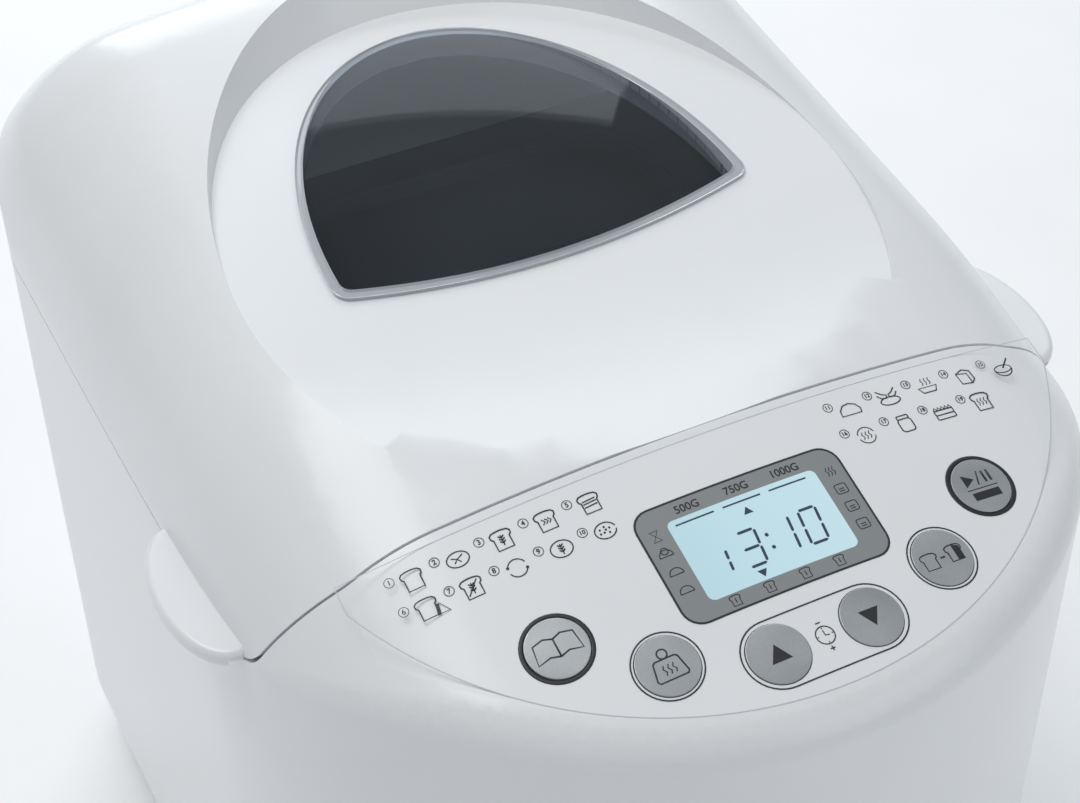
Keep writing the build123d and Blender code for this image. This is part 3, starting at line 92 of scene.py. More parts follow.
lens = bpy.data.cameras.new("camera")
lens.lens, lens.sensor_width = 75.5, 36.0
camera = bpy.data.objects.new("camera", lens)
camera.matrix_world = (
    Matrix.Translation((-0.2413, -0.4744, 0.6856))
    @ Matrix.Rotation(math.radians(-26.41), 4, "Z")
    @ Matrix.Rotation(math.radians(90.0 - 41.17), 4, "X")
    @ Matrix.Rotation(math.radians(-0.79), 4, "Z")
)
bpy.context.scene.collection.objects.link(camera)
bpy.context.scene.camera = camera


class Socket:
    """A shader value, so that sums on sockets are written as ordinary sums."""

    def __init__(self, tree, out):
        self.tree, self.out = tree, out

    def add(self, kind, settings=None, **inputs):
        """Any other node: its type, its settings, and the values or links of its sockets."""
        made = self.tree.nodes.new(kind)
        for key, value in (settings or {}).items():
            if key == "stops":
                ramp = made.color_ramp
                while len(ramp.elements) < len(value):
                    ramp.elements.new(0.5)
                for stop, (place, shade) in zip(ramp.elements, value):
                    stop.position, stop.color = place, (*shade, 1.0)
            else:
                setattr(made, key, value)
        for key, value in inputs.items():
            numbered = key[0] == "i" and key[1:].isdigit()
            slot = made.inputs[int(key[1:]) if numbered else key.replace("_", " ")]
            if isinstance(value, Socket):
                self.tree.links.new(value.out, slot)
            else:
                slot.default_value = value
        return Socket(self.tree, made.outputs[0])

    def sum(self, operation, other):
        return self.add("ShaderNodeMath", {"operation": operation}, i0=self, i1=other)

    def __add__(self, other):
        return self.sum("ADD", other)

    def __mul__(self, other):
        return self.sum("MULTIPLY", other)

    def __sub__(self, other):
        return self.sum("SUBTRACT", other)

    def __rsub__(self, other):
        return self.add("ShaderNodeMath", {"operation": "SUBTRACT"}, i0=other, i1=self)

    def __truediv__(self, other):
        return self.sum("DIVIDE", other)

    __radd__, __rmul__ = __add__, __mul__


def finish_start(name, **constants):
    """A new finish: its main shader with constant settings, and object coordinates."""
    made = bpy.data.materials.new(name)
    made.use_nodes = True
    tree = made.node_tree
    shader = tree.nodes["Principled BSDF"]
    for key, value in constants.items():
        shader.inputs[key.replace("_", " ")].default_value = value
    coords = tree.nodes.new("ShaderNodeTexCoord")
    return made, shader, Socket(tree, coords.outputs["Object"])


def to_shader(shader, key, value):
    """Leads a worked-out value into one input of the main shader."""
    value.tree.links.new(value.out, shader.inputs[key])


def moulded(name, shade, roughness, grain=2600.0, relief=0.00001, mottle=0.012, coat=0.0, metal=0.0):
    """Moulded plastic or cast metal: a fine skin, a faint unevenness and a slight mottle of colour."""
    made, shader, place = finish_start(name, Metallic=metal, Coat_Weight=coat)
    shader.inputs["Coat Roughness"].default_value = 0.12
    broad = place.add("ShaderNodeTexNoise", Vector=place, Scale=14.0, Detail=3.0)
    fine = place.add("ShaderNodeTexNoise", Vector=place, Scale=grain, Detail=2.0)
    dark = tuple(max(c - mottle, 0.0) for c in shade)
    light = tuple(min(c + mottle, 1.0) for c in shade)
    tone = broad.add("ShaderNodeValToRGB", {"stops": [(0.3, dark), (0.7, light)]}, Fac=broad)
    to_shader(shader, "Base Color", tone)
    to_shader(shader, "Roughness", fine * 0.08 + broad * 0.05 + (roughness - 0.065))
    to_shader(shader, "Normal", fine.add("ShaderNodeBump", Height=fine, Distance=relief, Strength=0.5))
    return made


def dress(piece, made):
    """Gives a piece one finish all over."""
    piece.data.materials.clear()
    piece.data.materials.append(made)


dress(table, moulded("table_top", (0.95, 0.952, 0.956), 0.7, grain=300.0))

# ---- Base plate, feet, screws and gland ----
# A plated sheet-steel plate closes the casing from below, held by six turned screws. Four black
# rubber feet stand under it, and a moulded gland lines the hole for the cord at the back.
sheet_steel = moulded(
    "plated_sheet", (0.50, 0.51, 0.53), 0.38, grain=900.0, metal=1.0, mottle=0.05,
)
turned_steel = moulded("turned_steel", (0.56, 0.57, 0.58), 0.32, metal=1.0, mottle=0.03)
rubber = moulded("black_rubber", (0.025, 0.025, 0.026), 0.72, relief=0.00003, mottle=0.004)
black_plastic = moulded("black_plastic", (0.03, 0.03, 0.032), 0.4, mottle=0.004)
dress(nodes["base_plate"], sheet_steel)
dress(nodes["base_screws"], turned_steel)
dress(nodes["feet"], rubber)
dress(nodes["cord_gland"], black_plastic)

# ---- Motor and drive ----
# An enamelled motor on rubber grommets turns a small pulley. A rubber belt leads to the large
# moulded pulley, whose steel shaft runs in a bronze bearing and carries the lower dog.
bronze = moulded("sintered_bronze", (0.52, 0.36, 0.18), 0.45, metal=1.0)
dress(nodes["motor"], moulded("motor_enamel", (0.07, 0.075, 0.08), 0.4, metal=0.4))
for node in ("motor_grommets", "drive_belt"):
    dress(nodes[node], rubber)
for node in ("motor_pulley", "large_pulley"):
    dress(nodes[node], black_plastic)
for node in ("motor_shaft", "drive_shaft", "drive_dog"):
    dress(nodes[node], turned_steel)
dress(nodes["main_bearing"], bronze)

# ---- Power board and capacitor ----
# The motor's capacitor is a moulded can, and the power board is lacquered glass fibre with its
# parts on one side. Both stand in the casing beside the motor.
board_lacquer = moulded("board_lacquer", (0.02, 0.13, 0.06), 0.35, grain=800.0, mottle=0.01)
dress(nodes["run_capacitor"], black_plastic)
dress(nodes["power_board"], board_lacquer)

# ---- Chassis, oven and pan socket ----
# Folded sheet steel: the chassis carries the oven chamber. A sheathed element on steel posts
# passes the wall through ceramic bushes, and a cast socket holds the pan's foot.
ceramic = moulded("ceramic", (0.74, 0.71, 0.64), 0.5)
aluminium = moulded(
    "cast_aluminium", (0.58, 0.59, 0.60), 0.45, grain=1200.0, metal=1.0, mottle=0.03,
    relief=0.00004,
)
for node in ("chassis", "oven_chamber"):
    dress(nodes[node], sheet_steel)
dress(
    nodes["heating_element"],
    moulded("element_sheath", (0.16, 0.15, 0.15), 0.5, metal=0.8, mottle=0.03),
)
for node in ("element_bushes", "thermal_fuse"):
    dress(nodes[node], ceramic)
for node in ("element_posts", "temperature_sensor"):
    dress(nodes[node], turned_steel)
dress(nodes["pan_socket"], aluminium)

# ---- Bread pan ----
# A drawn pan with a dark non-stick coating, on a cast ring that locks in the socket. Its shaft
# turns in a bronze bearing with the coated paddle above and a steel dog below.
pan_coating = moulded(
    "pan_coating", (0.035, 0.036, 0.038), 0.42, grain=1800.0, relief=0.00003, mottle=0.006,
)
for node in ("bread_pan", "kneading_paddle"):
    dress(nodes[node], pan_coating)
dress(nodes["pan_ring"], aluminium)
dress(nodes["pan_bearing"], bronze)
for node in ("pan_handle", "pan_shaft", "pan_dog"):
    dress(nodes[node], turned_steel)

# ---- Housing and base tray ----
# Two glossy white mouldings in impact-resistant plastic: the housing, with the sloping panel
# and the deck in one, and the tray with a rolled edge under it.
def skin_copy(node, name, made, crease=28.0):
    """A smooth-skinned copy of a moulded part, its loose triangles welded, that stands for it."""
    form = bmesh.new()
    form.from_mesh(nodes[node].data)
    bmesh.ops.remove_doubles(form, verts=form.verts, dist=0.000004)
    bmesh.ops.dissolve_degenerate(form, edges=form.edges, dist=0.000002)
    for face in form.faces:
        face.smooth = True
    for edge in form.edges:
        edge.smooth = edge.is_manifold and edge.calc_face_angle(0.0) < math.radians(crease)
    mesh = bpy.data.meshes.new(name)
    form.to_mesh(mesh)
    form.free()
    piece = bpy.data.objects.new(name, mesh)
    bpy.context.scene.collection.objects.link(piece)
    even = piece.modifiers.new("even_shading", "WEIGHTED_NORMAL")
    even.keep_sharp = True
    dress(piece, made)
    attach(piece, nodes[node]["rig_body"])
    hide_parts(node)
    return piece


white = moulded("white_gloss", (0.80, 0.815, 0.83), 0.30, coat=0.25)
for node in ("housing", "base_tray"):
    skin_copy(node, f"{node}_skin", white)

# ---- Control board, switches and display works ----
# A lacquered board under the panel, on four screws, with a small switch below each key. A black
# frame holds the display's cell over its light guide.
dress(nodes["control_board"], board_lacquer)
dress(nodes["board_screws"], turned_steel)
for node in ("tact_switches", "display_frame"):
    dress(nodes[node], black_plastic)
dress(nodes["display_cell"], moulded("cell_glass", (0.4, 0.55, 0.58), 0.2))
dress(nodes["display_backlight"], moulded("light_guide", (0.7, 0.8, 0.82), 0.4))

# ---- Panel film and its prints ----
# A satin polycarbonate film let into the panel and glued. Its numbers, pictograms and rings are
# printed in black; here each print is a thin closed form bent over the panel.
film = moulded("panel_film", (0.80, 0.815, 0.83), 0.34, grain=1500.0, relief=0.000004)
skin_copy("control_overlay", "panel_film_skin", film)

# Millimetres: the radius of the panel's crown, its slope, and the place of the lower key row
CROWN, SLOPE = 719.0, math.radians(15.76)
ROW_Y, ROW_Z = -142.7, 260.0
PRINT_HALF, PRINT_CUT = 96, 3
INK_DEPTH, PRESS = 0.02, 0.12


def panel_matrix(u, v):
    """The place and turn of the panel's surface at u across and v up the slope, in metres."""
    fall = math.sqrt(CROWN**2 - u**2)
    up = Vector((u / fall, -math.tan(SLOPE), 1.0)).normalized()
    across = Vector((up.z, 0.0, -up.x)).normalized()
    along = up.cross(across)
    y = ROW_Y + v * math.cos(SLOPE)
    z = ROW_Z + (y - ROW_Y) * math.tan(SLOPE) - CROWN + fall
    spot = Vector((u, y, z)) * MM
    return Matrix((
        (across.x, along.x, up.x, spot.x),
        (across.y, along.y, up.y, spot.y),
        (across.z, along.z, up.z, spot.z),
        (0, 0, 0, 1),
    ))


def lay_on_panel(form, height):
    """Bends a flat print, drawn in millimetres across and up the panel, onto its surface."""
    for cut in range(-PRINT_HALF, PRINT_HALF + 1, PRINT_CUT):
        whole = form.verts[:] + form.edges[:] + form.faces[:]
        bmesh.ops.bisect_plane(form, geom=whole, plane_co=(cut, 0, 0), plane_no=(1, 0, 0))
    for corner in form.verts:
        u, v, w = corner.co
        corner.co = panel_matrix(u, v) @ Vector((0.0, 0.0, (height + w) * MM))


class Print:
    """Ink drawn in millimetres: lines of even weight and filled shapes, gathered in one mesh."""

    def __init__(self):
        self.form = bmesh.new()

    def line(self, points, weight=0.36, closed=False):
        """One pen line through the points."""
        curve = bpy.data.curves.new("pen", "CURVE")
        curve.dimensions = "3D"
        curve.bevel_depth, curve.bevel_resolution = weight / 2, 1
        curve.use_fill_caps = True
        run = curve.splines.new("POLY")
        run.points.add(len(points) - 1)
        for dot, (u, v) in zip(run.points, points):
            dot.co = (u, v, 0.0, 1.0)
        run.use_cyclic_u = closed
        self.take(curve)

    def take(self, curve):
        """Adds a curve or text as mesh, pressed flat."""
        holder = bpy.data.objects.new("pen", curve)
        bpy.context.scene.collection.objects.link(holder)
        bpy.context.view_layer.update()
        mesh = bpy.data.meshes.new_from_object(
            holder.evaluated_get(bpy.context.evaluated_depsgraph_get())
        )
        mesh.transform(Matrix.Diagonal((1.0, 1.0, PRESS, 1.0)))
        self.form.from_mesh(mesh)
        bpy.data.objects.remove(holder)
        bpy.data.meshes.remove(mesh)

    def ring(self, u, v, radius, weight=0.36, start=0.0, sweep=360.0, squash=1.0):
        """A circle, an oval or an arc."""
        count = max(int(abs(sweep) / 9.0), 4)
        whole = abs(sweep) >= 360.0
        steps = count if whole else count + 1
        turn = [math.radians(start + sweep * i / count) for i in range(steps)]
        self.line(
            [(u + radius * math.cos(a), v + radius * squash * math.sin(a)) for a in turn], weight,
            whole,
        )

    def fill(self, points):
        """A filled shape, as thin as ink but closed."""
        low = [self.form.verts.new((u, v, 0.0)) for u, v in points]
        high = [self.form.verts.new((u, v, INK_DEPTH)) for u, v in points]
        skin = [self.form.faces.new(low), self.form.faces.new(high)]
        for a, b in zip(range(-1, len(points) - 1), range(len(points))):
            skin.append(self.form.faces.new((low[a], low[b], high[b], high[a])))
        bmesh.ops.recalc_face_normals(self.form, faces=skin)

    def disc(self, u, v, radius, squash=1.0):
        """A filled circle or oval."""
        self.fill([
            (u + radius * math.cos(math.radians(a)), v + radius * squash * math.sin(math.radians(a)))
            for a in range(0, 360, 8)
        ])

    def number(self, words, u, v, size):
        """A printed number, centred."""
        text = bpy.data.curves.new("number", "FONT")
        text.body, text.size = words, size
        text.align_x, text.align_y = "CENTER", "CENTER"
        text.offset_x, text.offset_y, text.extrude, text.offset = u, v, 0.15, 0.035
        self.take(text)

    def finish(self, name, made, body, height):
        """Bends the print over the panel and returns it as a piece that moves with a body."""
        bmesh.ops.remove_doubles(self.form, verts=self.form.verts, dist=0.0005)
        lay_on_panel(self.form, height)
        mesh = bpy.data.meshes.new(name)
        self.form.to_mesh(mesh)
        self.form.free()
        piece = bpy.data.objects.new(name, mesh)
        bpy.context.scene.collection.objects.link(piece)
        dress(piece, made)
        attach(piece, body)
        return piece


ink = moulded("printing_ink", (0.02, 0.022, 0.026), 0.4, mottle=0.003)


def rounded_points(u0, v0, u1, v1, radius):
    """The corners of a rounded rectangle, in order."""
    turns = (
        (u1 - radius, v1 - radius, 0), (u0 + radius, v1 - radius, 90),
        (u0 + radius, v0 + radius, 180), (u1 - radius, v0 + radius, 270),
    )
    return [
        (u + radius * math.cos(math.radians(start + a)),
         v + radius * math.sin(math.radians(start + a)))
        for u, v, start in turns
        for a in range(0, 91, 15)
    ]


def slice_points(u, v, size):
    """The outline of a slice of bread: a square with a domed, overhanging top."""
    shape = (
        (-0.40, -0.50), (0.40, -0.50), (0.40, 0.10), (0.50, 0.20), (0.52, 0.36), (0.40, 0.47),
        (0.20, 0.51), (0.0, 0.52), (-0.20, 0.51), (-0.40, 0.47), (-0.52, 0.36), (-0.50, 0.20),
        (-0.40, 0.10),
    )
    return [(u + size * a, v + size * b) for a, b in shape]


# Fine shadow line round the film: its rear edge, its short sides and its arc inside the nose.
# Heights over the film, in millimetres, keep each print clear of the one under it.
FILM_HALF, FILM_RADIUS, FILM_REAR_Y, ARC_CENTRE_Y = 108.5, 119.0, -86.7, -46.0
edge_turn = math.asin(FILM_HALF / FILM_RADIUS)
film_edge = Print()
film_edge.line(
    [
        (FILM_RADIUS * math.sin(edge_turn * step / 30),
         (ARC_CENTRE_Y - FILM_RADIUS * math.cos(edge_turn * step / 30) - ROW_Y) / math.cos(SLOPE))
        for step in range(-30, 31)
    ]
    + [(u, (FILM_REAR_Y - ROW_Y) / math.cos(SLOPE)) for u in (FILM_HALF, -FILM_HALF)],
    0.34, True,
)
film_edge.finish(
    "film_edge", moulded("film_shadow", (0.56, 0.58, 0.60), 0.4), "casing", height=0.03,
)

# Programme pictograms: small line drawings, each with its number in a ring
panel_print = Print()
PITCH, ROW_DROP = 12.85, 9.2
LEFT_U, RIGHT_U = -95.4, 37.1
for group, (first_u, number_top, rows) in enumerate(
    ((LEFT_U, 52.7, (5, 5)), (RIGHT_U, 53.2, (5, 4)))
):
    for row, count in enumerate(rows):
        for column in range(count):
            u = first_u + PITCH * column
            v = number_top - ROW_DROP * row
            index = 1 + group * 10 + row * 5 + column
            panel_print.ring(u, v, 1.35, 0.2)
            panel_print.number(str(index), u, v, 2.1 if index < 10 else 1.75)
icon_u = [LEFT_U + 5.9 + PITCH * i for i in range(5)]
icon_u2 = [RIGHT_U + 5.8 + PITCH * i for i in range(5)]
TOP, LOW = 50.7, 41.6
for u, v in (
    (icon_u[0], TOP), (icon_u[2], TOP), (icon_u[3], TOP), (icon_u[4], TOP), (icon_u[0], LOW),
    (icon_u[1], LOW), (icon_u2[4] - PITCH, LOW),
):
    panel_print.line(slice_points(u, v, 5.6), 0.42, True)
# ear of wheat, on the wholemeal and the gluten-free slices and the sweet loaf
for u, v in ((icon_u[2], TOP), (icon_u[1], LOW), (icon_u[3], LOW)):
    panel_print.line([(u, v - 1.7), (u, v + 1.5)], 0.3)
    for lift in (-0.9, -0.1, 0.7):
        for side in (-1, 1):
            panel_print.line([(u, v + lift), (u + side * 0.8, v + lift + 0.6)], 0.38)
panel_print.line([(icon_u[1] - 1.8, LOW - 2.0), (icon_u[1] + 1.8, LOW + 2.0)], 0.34)
# fast programme chevrons
for shift in (-1.2, -0.3, 0.6):
    panel_print.line(
        [
            (icon_u[3] + shift, TOP + 0.8), (icon_u[3] + shift + 0.8, TOP),
            (icon_u[3] + shift, TOP - 0.8),
        ],
        0.32,
    )
# layered slice
for lift in (-0.9, 0.1, 0.9):
    panel_print.line([(icon_u[4] - 1.9, TOP + lift), (icon_u[4] + 1.9, TOP + lift + 0.25)], 0.34)
# scored round loaf
panel_print.ring(icon_u[1], TOP, 3.1, 0.34, squash=0.72)
panel_print.line(
    [(icon_u[1] - 1.7, TOP + 0.9), (icon_u[1] - 0.2, TOP + 0.1), (icon_u[1] + 1.6, TOP + 1.0)], 0.32,
)
panel_print.line(
    [(icon_u[1] - 1.2, TOP - 0.9), (icon_u[1] - 0.2, TOP + 0.1), (icon_u[1] + 0.6, TOP - 1.0)], 0.32,
)
# slice with a wedge of cake
panel_print.line(
    [(icon_u[0] + 2.0, LOW - 2.9), (icon_u[0] + 5.2, LOW - 2.9), (icon_u[0] + 3.2, LOW + 0.2)], 0.36,
    True,
)
panel_print.fill(
    [
        (icon_u[0] + 1.6, LOW - 2.9), (icon_u[0] + 2.6, LOW - 2.9), (icon_u[0] + 3.1, LOW),
        (icon_u[0] + 2.2, LOW + 0.2),
    ]
)
# kneading ring with two arrow heads
for start in (20.0, 200.0):
    panel_print.ring(icon_u[2], LOW, 2.6, 0.32, start, 140.0)
    tip = math.radians(start + 140.0)
    panel_print.disc(icon_u[2] + 2.6 * math.cos(tip), LOW + 2.6 * math.sin(tip), 0.42)
# sweet loaf outline and dotted loaf
panel_print.ring(icon_u[3], LOW, 3.1, 0.34, squash=0.8)
panel_print.ring(icon_u[4], LOW, 3.0, 0.34, 10.0, 340.0, squash=0.8)
for a, b in ((-1.4, 0.6), (0.0, 1.1), (1.3, 0.4), (-0.5, -0.5), (0.9, -0.9), (-1.6, -0.6), (0.2, 0.2)):
    panel_print.disc(icon_u[4] + a, LOW + b, 0.3)
# right group, top row: round loaf, kneading hands, bowl, packet, spoon and bowl
panel_print.line(
    [
        (icon_u2[0] - 3.2, TOP - 1.6), (icon_u2[0] - 3.0, TOP + 0.2), (icon_u2[0] - 1.6, TOP + 1.7),
        (icon_u2[0] + 0.4, TOP + 2.0), (icon_u2[0] + 2.3, TOP + 1.2), (icon_u2[0] + 3.2, TOP - 0.4),
        (icon_u2[0] + 2.9, TOP - 1.7),
    ],
    0.36, True,
)
panel_print.ring(icon_u2[1], TOP - 1.0, 3.1, 0.34, squash=0.42)
for side in (-1, 1):
    panel_print.line(
        [
            (icon_u2[1] + side * 3.0, TOP + 2.9), (icon_u2[1] + side * 1.6, TOP + 1.6),
            (icon_u2[1] + side * 0.3, TOP + 1.1), (icon_u2[1] + side * 0.6, TOP + 0.1),
            (icon_u2[1] + side * 2.2, TOP + 0.3), (icon_u2[1] + side * 3.2, TOP + 1.5),
        ],
        0.36,
    )
panel_print.line(
    [
        (icon_u2[2] - 3.0, TOP), (icon_u2[2] + 3.0, TOP), (icon_u2[2] + 2.0, TOP - 1.8),
        (icon_u2[2] - 2.0, TOP - 1.8),
    ],
    0.38, True,
)
for shift in (-1.0, 0.2, 1.4):
    panel_print.line(
        [
            (icon_u2[2] + shift, TOP + 0.7), (icon_u2[2] + shift + 0.4, TOP + 1.5),
            (icon_u2[2] + shift, TOP + 2.2), (icon_u2[2] + shift + 0.4, TOP + 3.0),
        ],
        0.26,
    )
panel_print.line(
    [
        (icon_u2[3] - 2.0, TOP - 2.2), (icon_u2[3] + 1.3, TOP - 2.5), (icon_u2[3] + 2.6, TOP - 1.3),
        (icon_u2[3] + 2.3, TOP + 1.6), (icon_u2[3] + 0.2, TOP + 2.4), (icon_u2[3] - 2.3, TOP + 1.4),
    ],
    0.36, True,
)
panel_print.line(
    [(icon_u2[3] - 2.3, TOP + 1.4), (icon_u2[3] + 1.1, TOP + 0.9), (icon_u2[3] + 1.3, TOP - 2.5)], 0.3,
)
panel_print.ring(icon_u2[4], TOP - 0.6, 2.8, 0.4, 180.0, 180.0, squash=0.9)
panel_print.ring(icon_u2[4], TOP - 0.6, 2.8, 0.34, squash=0.45)
panel_print.line([(icon_u2[4] + 0.2, TOP - 0.4), (icon_u2[4] + 3.2, TOP + 2.6)], 0.5)
# right group, low row: warm circle, jar, layered cake, steaming slice
panel_print.ring(icon_u2[0], LOW, 2.6, 0.28, 15.0, 150.0)
panel_print.ring(icon_u2[0], LOW, 2.6, 0.28, 195.0, 150.0)
for centre_u in (icon_u2[0], icon_u2[3]):
    for shift in (-1.1, 0.0, 1.1):
        panel_print.line(
            [
                (centre_u + shift - 0.2, LOW - 1.2), (centre_u + shift + 0.25, LOW - 0.4),
                (centre_u + shift - 0.25, LOW + 0.4), (centre_u + shift + 0.2, LOW + 1.2),
            ],
            0.26,
        )
panel_print.line(
    rounded_points(icon_u2[1] - 2.1, LOW - 2.7, icon_u2[1] + 2.1, LOW + 1.5, 1.0), 0.36, True,
)
panel_print.line(
    rounded_points(icon_u2[1] - 1.8, LOW + 1.5, icon_u2[1] + 1.8, LOW + 2.6, 0.3), 0.34, True,
)
for lift in (-2.2, -0.7):
    panel_print.line(
        rounded_points(icon_u2[2] - 3.0, LOW + lift, icon_u2[2] + 3.0, LOW + lift + 1.5, 0.4), 0.34,
        True,
    )
for shift in (-2.4, -1.2, 0.0, 1.2, 2.4):
    panel_print.line(
        [
            (icon_u2[2] + shift - 0.6, LOW + 0.8), (icon_u2[2] + shift, LOW + 1.9),
            (icon_u2[2] + shift + 0.6, LOW + 0.8),
        ],
        0.3,
    )
# rings round the four round keys, and the long ring round the time keys with its clock
for u, v, radius, weight in (
    (-64.8, 16.5, 9.35, 1.25), (64.8, 16.5, 9.35, 1.25), (-41.6, 0.0, 9.6, 0.42),
    (41.6, 0.0, 9.6, 0.42),
):
    panel_print.ring(u, v, radius, weight)
panel_print.line(
    [
        (14.05 + 9.9 * math.cos(math.radians(a)), -8.7 + 9.9 * math.sin(math.radians(a)))
        for a in range(-90, 91, 9)
    ]
    + [
        (-14.05 + 9.9 * math.cos(math.radians(a)), -8.7 + 9.9 * math.sin(math.radians(a)))
        for a in range(90, 271, 9)
    ],
    0.42, True,
)
panel_print.ring(0.0, -8.7, 2.6, 0.3)
panel_print.line([(0.0, -7.2), (0.0, -8.7), (1.2, -8.9)], 0.3)
for a in range(0, 360, 90):
    turn = math.radians(a)
    panel_print.line(
        [
            (1.9 * math.cos(turn), -8.7 + 1.9 * math.sin(turn)),
            (2.3 * math.cos(turn), -8.7 + 2.3 * math.sin(turn)),
        ],
        0.25,
    )
panel_print.line([(-0.9, -4.9), (0.5, -4.9)], 0.32)
panel_print.line([(-0.7, -12.7), (0.7, -12.7)], 0.32)
panel_print.line([(0.0, -12.0), (0.0, -13.4)], 0.32)
# dark outline of the display's surround
SURROUND = (-31.2, 6.6, 31.2, 42.4)
panel_print.line(rounded_points(*SURROUND, 5.4), 0.6, True)
# weights along the top of the surround
for words, u in (("500G", -15.0), ("750G", 0.0), ("1000G", 15.0)):
    panel_print.number(words, u, 39.3, 3.3)
# surround icons
for u, v in (
    (-26.9, 34.4), (-26.9, 28.6), (-26.9, 22.8), (-26.9, 17.0), (27.0, 34.6), (27.0, 28.7),
    (27.0, 22.9), (27.0, 17.0),
):
    if v > 33 and u < 0:
        panel_print.line(
            [(u - 1.2, v + 1.6), (u + 1.2, v + 1.6), (u - 1.2, v - 1.6), (u + 1.2, v - 1.6)], 0.3,
            True,
        )
    elif v > 33:
        for shift in (-1.0, 0.0, 1.0):
            panel_print.line(
                [
                    (u + shift - 0.2, v - 1.4), (u + shift + 0.3, v - 0.4), (u + shift - 0.3, v + 0.4),
                    (u + shift + 0.2, v + 1.4),
                ],
                0.26,
            )
    elif u > 0:
        panel_print.line(rounded_points(u - 1.7, v - 1.5, u + 1.7, v + 1.5, 0.6), 0.28, True)
        panel_print.line([(u - 0.8, v), (u + 0.8, v)], 0.28)
        panel_print.line([(u - 0.8, v - 0.7), (u + 0.8, v - 0.7)], 0.28)
    else:
        panel_print.ring(u, v - 0.6, 2.0, 0.28, 0.0, 180.0)
        panel_print.line([(u - 2.0, v - 0.6), (u + 2.0, v - 0.6)], 0.28)
panel_print.ring(-26.9, 29.6, 1.0, 0.28)
for u in (-16.5, -6.2, 4.6, 15.0):
    panel_print.line(slice_points(u, 9.3, 3.0), 0.3, True)
    panel_print.line([(u, 8.6), (u, 10.1)], 0.3)
panel_print.finish("panel_print", ink, "casing", height=0.09)

# Grey printed ground of the display's surround
grey_print = moulded("grey_print", (0.255, 0.27, 0.28), 0.36, mottle=0.004)
ground = Print()
ground.fill(rounded_points(*SURROUND, 5.4))
ground.finish("display_surround", grey_print, "casing", height=0.04)

# ---- Display ----
# A clear lens stands in the panel over the cell. Lit from below it glows pale cyan, and the
# segments of its figures are dark.
glow, glow_shader, place = finish_start("display_glow", Roughness=0.12, Coat_Weight=0.6)
split = place.add("ShaderNodeSeparateXYZ", Vector=place)
across = split * 11.0 + 0.5
tone = across.add(
    "ShaderNodeValToRGB",
    {"stops": [(0.0, (0.44, 0.66, 0.74)), (0.45, (0.54, 0.75, 0.82)), (1.0, (0.60, 0.80, 0.86))]},
    Fac=across,
)
to_shader(glow_shader, "Base Color", tone)
to_shader(glow_shader, "Emission Color", tone)
glow_shader.inputs["Emission Strength"].default_value = 0.16
pane = Print()
pane.fill(rounded_points(-22.75, 11.45, 22.75, 36.95, 2.0))
pane.finish("display_pane", glow, "casing", height=0.075)
dress(nodes["display_lens"], glow)

segments = Print()
SEGMENTS = {"0": "abcdef", "1": "bc", "3": "abgcd"}


def digit(mark, u, v, wide, tall):
    """One seven-segment figure, leaning slightly."""
    lean = 0.12
    half, gap, thick = tall / 2, 0.25, 0.8
    runs = {
        "a": ((0, tall), (wide, tall)), "g": ((0, half), (wide, half)), "d": ((0, 0), (wide, 0)),
        "f": ((0, half), (0, tall)), "b": ((wide, half), (wide, tall)),
        "e": ((0, 0), (0, half)), "c": ((wide, 0), (wide, half)),
    }
    for key in SEGMENTS[mark]:
        (a, b), (c, d) = runs[key]
        length = math.hypot(c - a, d - b)
        du, dv = (c - a) / length, (d - b) / length
        ends = []
        for s, t in (
            (gap, 0), (gap + thick / 2, thick / 2), (length - gap - thick / 2, thick / 2),
            (length - gap, 0), (length - gap - thick / 2, -thick / 2), (gap + thick / 2, -thick / 2),
        ):
            x, y = a + du * s - dv * t, b + dv * s + du * t
            ends.append((u + x + lean * y, v + y))
        segments.fill(ends)


digit("1", -16.2, 17.0, 3.4, 6.8)
digit("3", -8.2, 16.2, 5.2, 10.4)
digit("1", 2.2, 16.2, 5.0, 10.4)
digit("0", 10.6, 16.2, 5.2, 10.4)
for v in (19.4, 23.4):
    segments.disc(0.6, v, 0.55)
segments.fill([(-1.9, 31.0), (0.9, 31.0), (-0.5, 33.2)])
segments.fill([(-7.2, 14.6), (-5.8, 12.4), (-4.4, 14.6)])
for i in range(3):
    segments.line([(-20.5 + 14.2 * i, 35.2), (-9.0 + 14.2 * i, 35.2)], 0.5)
segments.finish(
    "display_segments", moulded("segment_ink", (0.035, 0.06, 0.10), 0.35, mottle=0.003),
    "casing", height=0.13,
)

# ---- Keys ----
# Six moulded caps with a metallic grey paint, each sliding in its own opening of the panel over
# a switch. Each has its symbol printed in black on its crown.
key_finish, key_shader, place = finish_start("key_silver", Metallic=0.55, Coat_Weight=0.2)
fine = place.add("ShaderNodeTexNoise", Vector=place, Scale=2200.0, Detail=2.0)
wave = place.add("ShaderNodeTexNoise", Vector=place, Scale=60.0, Detail=1.0)
shade = wave * 0.7 + fine * 0.3
tone = shade.add(
    "ShaderNodeValToRGB", {"stops": [(0.3, (0.36, 0.38, 0.395)), (0.7, (0.50, 0.52, 0.535))]},
    Fac=shade,
)
to_shader(key_shader, "Base Color", tone)
to_shader(key_shader, "Roughness", fine * 0.1 + 0.3)
KEYS = {
    "menu": (-64.8, 16.5), "start": (64.8, 16.5), "weight": (-41.6, 0.0),
    "crust": (41.6, 0.0), "up": (-14.05, -8.7), "down": (14.05, -8.7),
}
